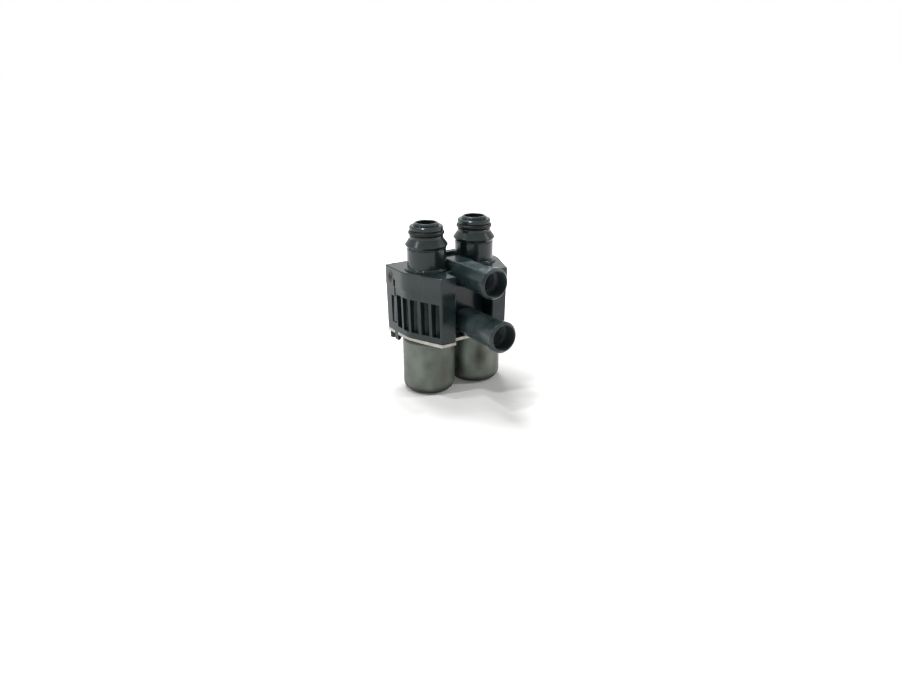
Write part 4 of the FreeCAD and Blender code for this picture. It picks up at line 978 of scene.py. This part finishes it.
trimSizes = {
    # outlines as (y, z) of the rail and (x, z) of hook and tongue, mm
    "rail": [(22.0, 91.3), (22.0, 95.0), (24.6, 95.0), (24.6, 93.4), (25.7, 93.4), (25.7, 95.0), (27.3, 95.0),
             (27.3, 91.3)],
    "railHalf": 20.5,
    "railEdge": 0.3,
    "hook": [(39.1, 48.0), (39.1, 36.9), (37.3, 36.9), (35.1, 40.2), (35.1, 41.2), (37.3, 41.2),
             (37.3, 48.0)],
    "hookSpan": (12.7, 17.3),
    "hookEdge": 0.2,
    "tongue": [(38.7, 47.0), (38.7, 69.0), (38.0, 72.0), (36.2, 72.0), (36.2, 47.0)],
    "tongueSpan": (15.0, 20.4),  # the springy tongue behind each hook's window
    "foot": (36.1, 24.2, 2.7, 35.9, 48.0),  # x, y, radius, low, high
    "footRound": 0.7,
}


def buildTrim(sizes):
    bm = bmesh.new()
    extrude(bm, sizes["rail"], -sizes["railHalf"], sizes["railHalf"], "X")
    dress(newPiece("rearRail", bm, sizes["railEdge"]))
    bm = bmesh.new()
    for side in (-1, 1):
        extrude(bm, [(side * x, z) for x, z in sizes["hook"]], *sizes["hookSpan"], "Y")
        extrude(bm, [(side * x, z) for x, z in sizes["tongue"]], *sizes["tongueSpan"], "Y")
    dress(newPiece("snapHooks", bm, sizes["hookEdge"]))
    x, y, radius, low, high = sizes["foot"]
    foot = [(0, low), (radius, low, sizes["footRound"]), (radius, high), (0, high)]
    bm = bmesh.new()
    for side in (-1, 1):
        lathe(bm, roundCorners(foot, closed=False), (side * x, y), closed=False, sides=48)
    dress(newPiece("plateFeet", bm))


buildTrim(trimSizes)


stageLook = {
    "floorSize": 12,            # metres
    "floorColour": "#f6f6f5",
    "floorGlow": (0.06, 1.0),   # beside the valve and far off, where it fades into the white
    "glowStart": 0.09,          # metres from the valve
    "glowEnd": 0.40,
    "worldLevel": 0.14,
    "lampAim": (0, 0, 60),      # mm
    "lamps": (
        # place mm, size mm, watts
        ((40, 230, 660), 240, 3.9),
        ((-563, 94, 563), 36, 1.9),
        ((521, -314, 465), 26, 1.4),
        ((-180, 0, 670), 50, 0.9),
    ),
}


def seenDirectly(tree):
    # 1 for the camera and for what metal and gloss reflect
    ray = addNode(tree, "ShaderNodeLightPath").outputs
    seen = ray["Is Camera Ray"]
    for other in ("Is Glossy Ray", "Is Transmission Ray"):
        seen = addNode(tree, "ShaderNodeMath", {"operation": "MAXIMUM"}, {0: seen, 1: ray[other]})
    return seen


def makeStage(look):
    bpy.ops.mesh.primitive_plane_add(size=look["floorSize"], location=(0, 0, 0))
    floor = bpy.context.object
    floor.name = "paleFloor"
    # matt white paint that glows only where it is looked at, so it lights nothing
    material, tree = newMaterial("paleFloorPaint")
    place = addNode(tree, "ShaderNodeTexCoord").outputs["Object"]
    away = addNode(tree, "ShaderNodeVectorMath", {"operation": "LENGTH"}, {0: place})
    level = addNode(tree, "ShaderNodeMapRange", {"interpolation_type": "SMOOTHSTEP"}, {
        "Value": away.outputs["Value"], "From Min": look["glowStart"], "From Max": look["glowEnd"],
        "To Min": look["floorGlow"][0], "To Max": look["floorGlow"][1]})
    glow = addNode(tree, "ShaderNodeMath", {"operation": "MULTIPLY"}, {0: seenDirectly(tree), 1: level})
    shader = addNode(tree, "ShaderNodeBsdfPrincipled", inputs={
        "Base Color": linear(look["floorColour"]), "Roughness": 0.9,
        "Emission Color": (1, 1, 1, 1), "Emission Strength": glow})
    addNode(tree, "ShaderNodeOutputMaterial", inputs={"Surface": shader})
    floor.data.materials.append(material)

    world = bpy.data.worlds.new("studioWorld")
    scene.world = world
    world.use_nodes = True
    tree = world.node_tree
    tree.nodes.clear()
    level = addNode(tree, "ShaderNodeMapRange", inputs={
        "Value": seenDirectly(tree), "To Min": look["worldLevel"], "To Max": 1.0})
    background = addNode(tree, "ShaderNodeBackground", inputs={"Color": (1, 1, 1, 1), "Strength": level})
    addNode(tree, "ShaderNodeOutputWorld", inputs={"Surface": background})

    for number, (place, size, watts) in enumerate(look["lamps"]):
        data = bpy.data.lights.new("softLamp%d" % number, "AREA")
        data.size = size * mm
        data.energy = watts
        lamp = bpy.data.objects.new("softLamp%d" % number, data)
        lamp.location = Vector(place) * mm
        aim = Vector(look["lampAim"]) * mm - lamp.location
        lamp.rotation_euler = aim.to_track_quat("-Z", "Y").to_euler()
        scene.collection.objects.link(lamp)


makeStage(stageLook)
print("stage set")
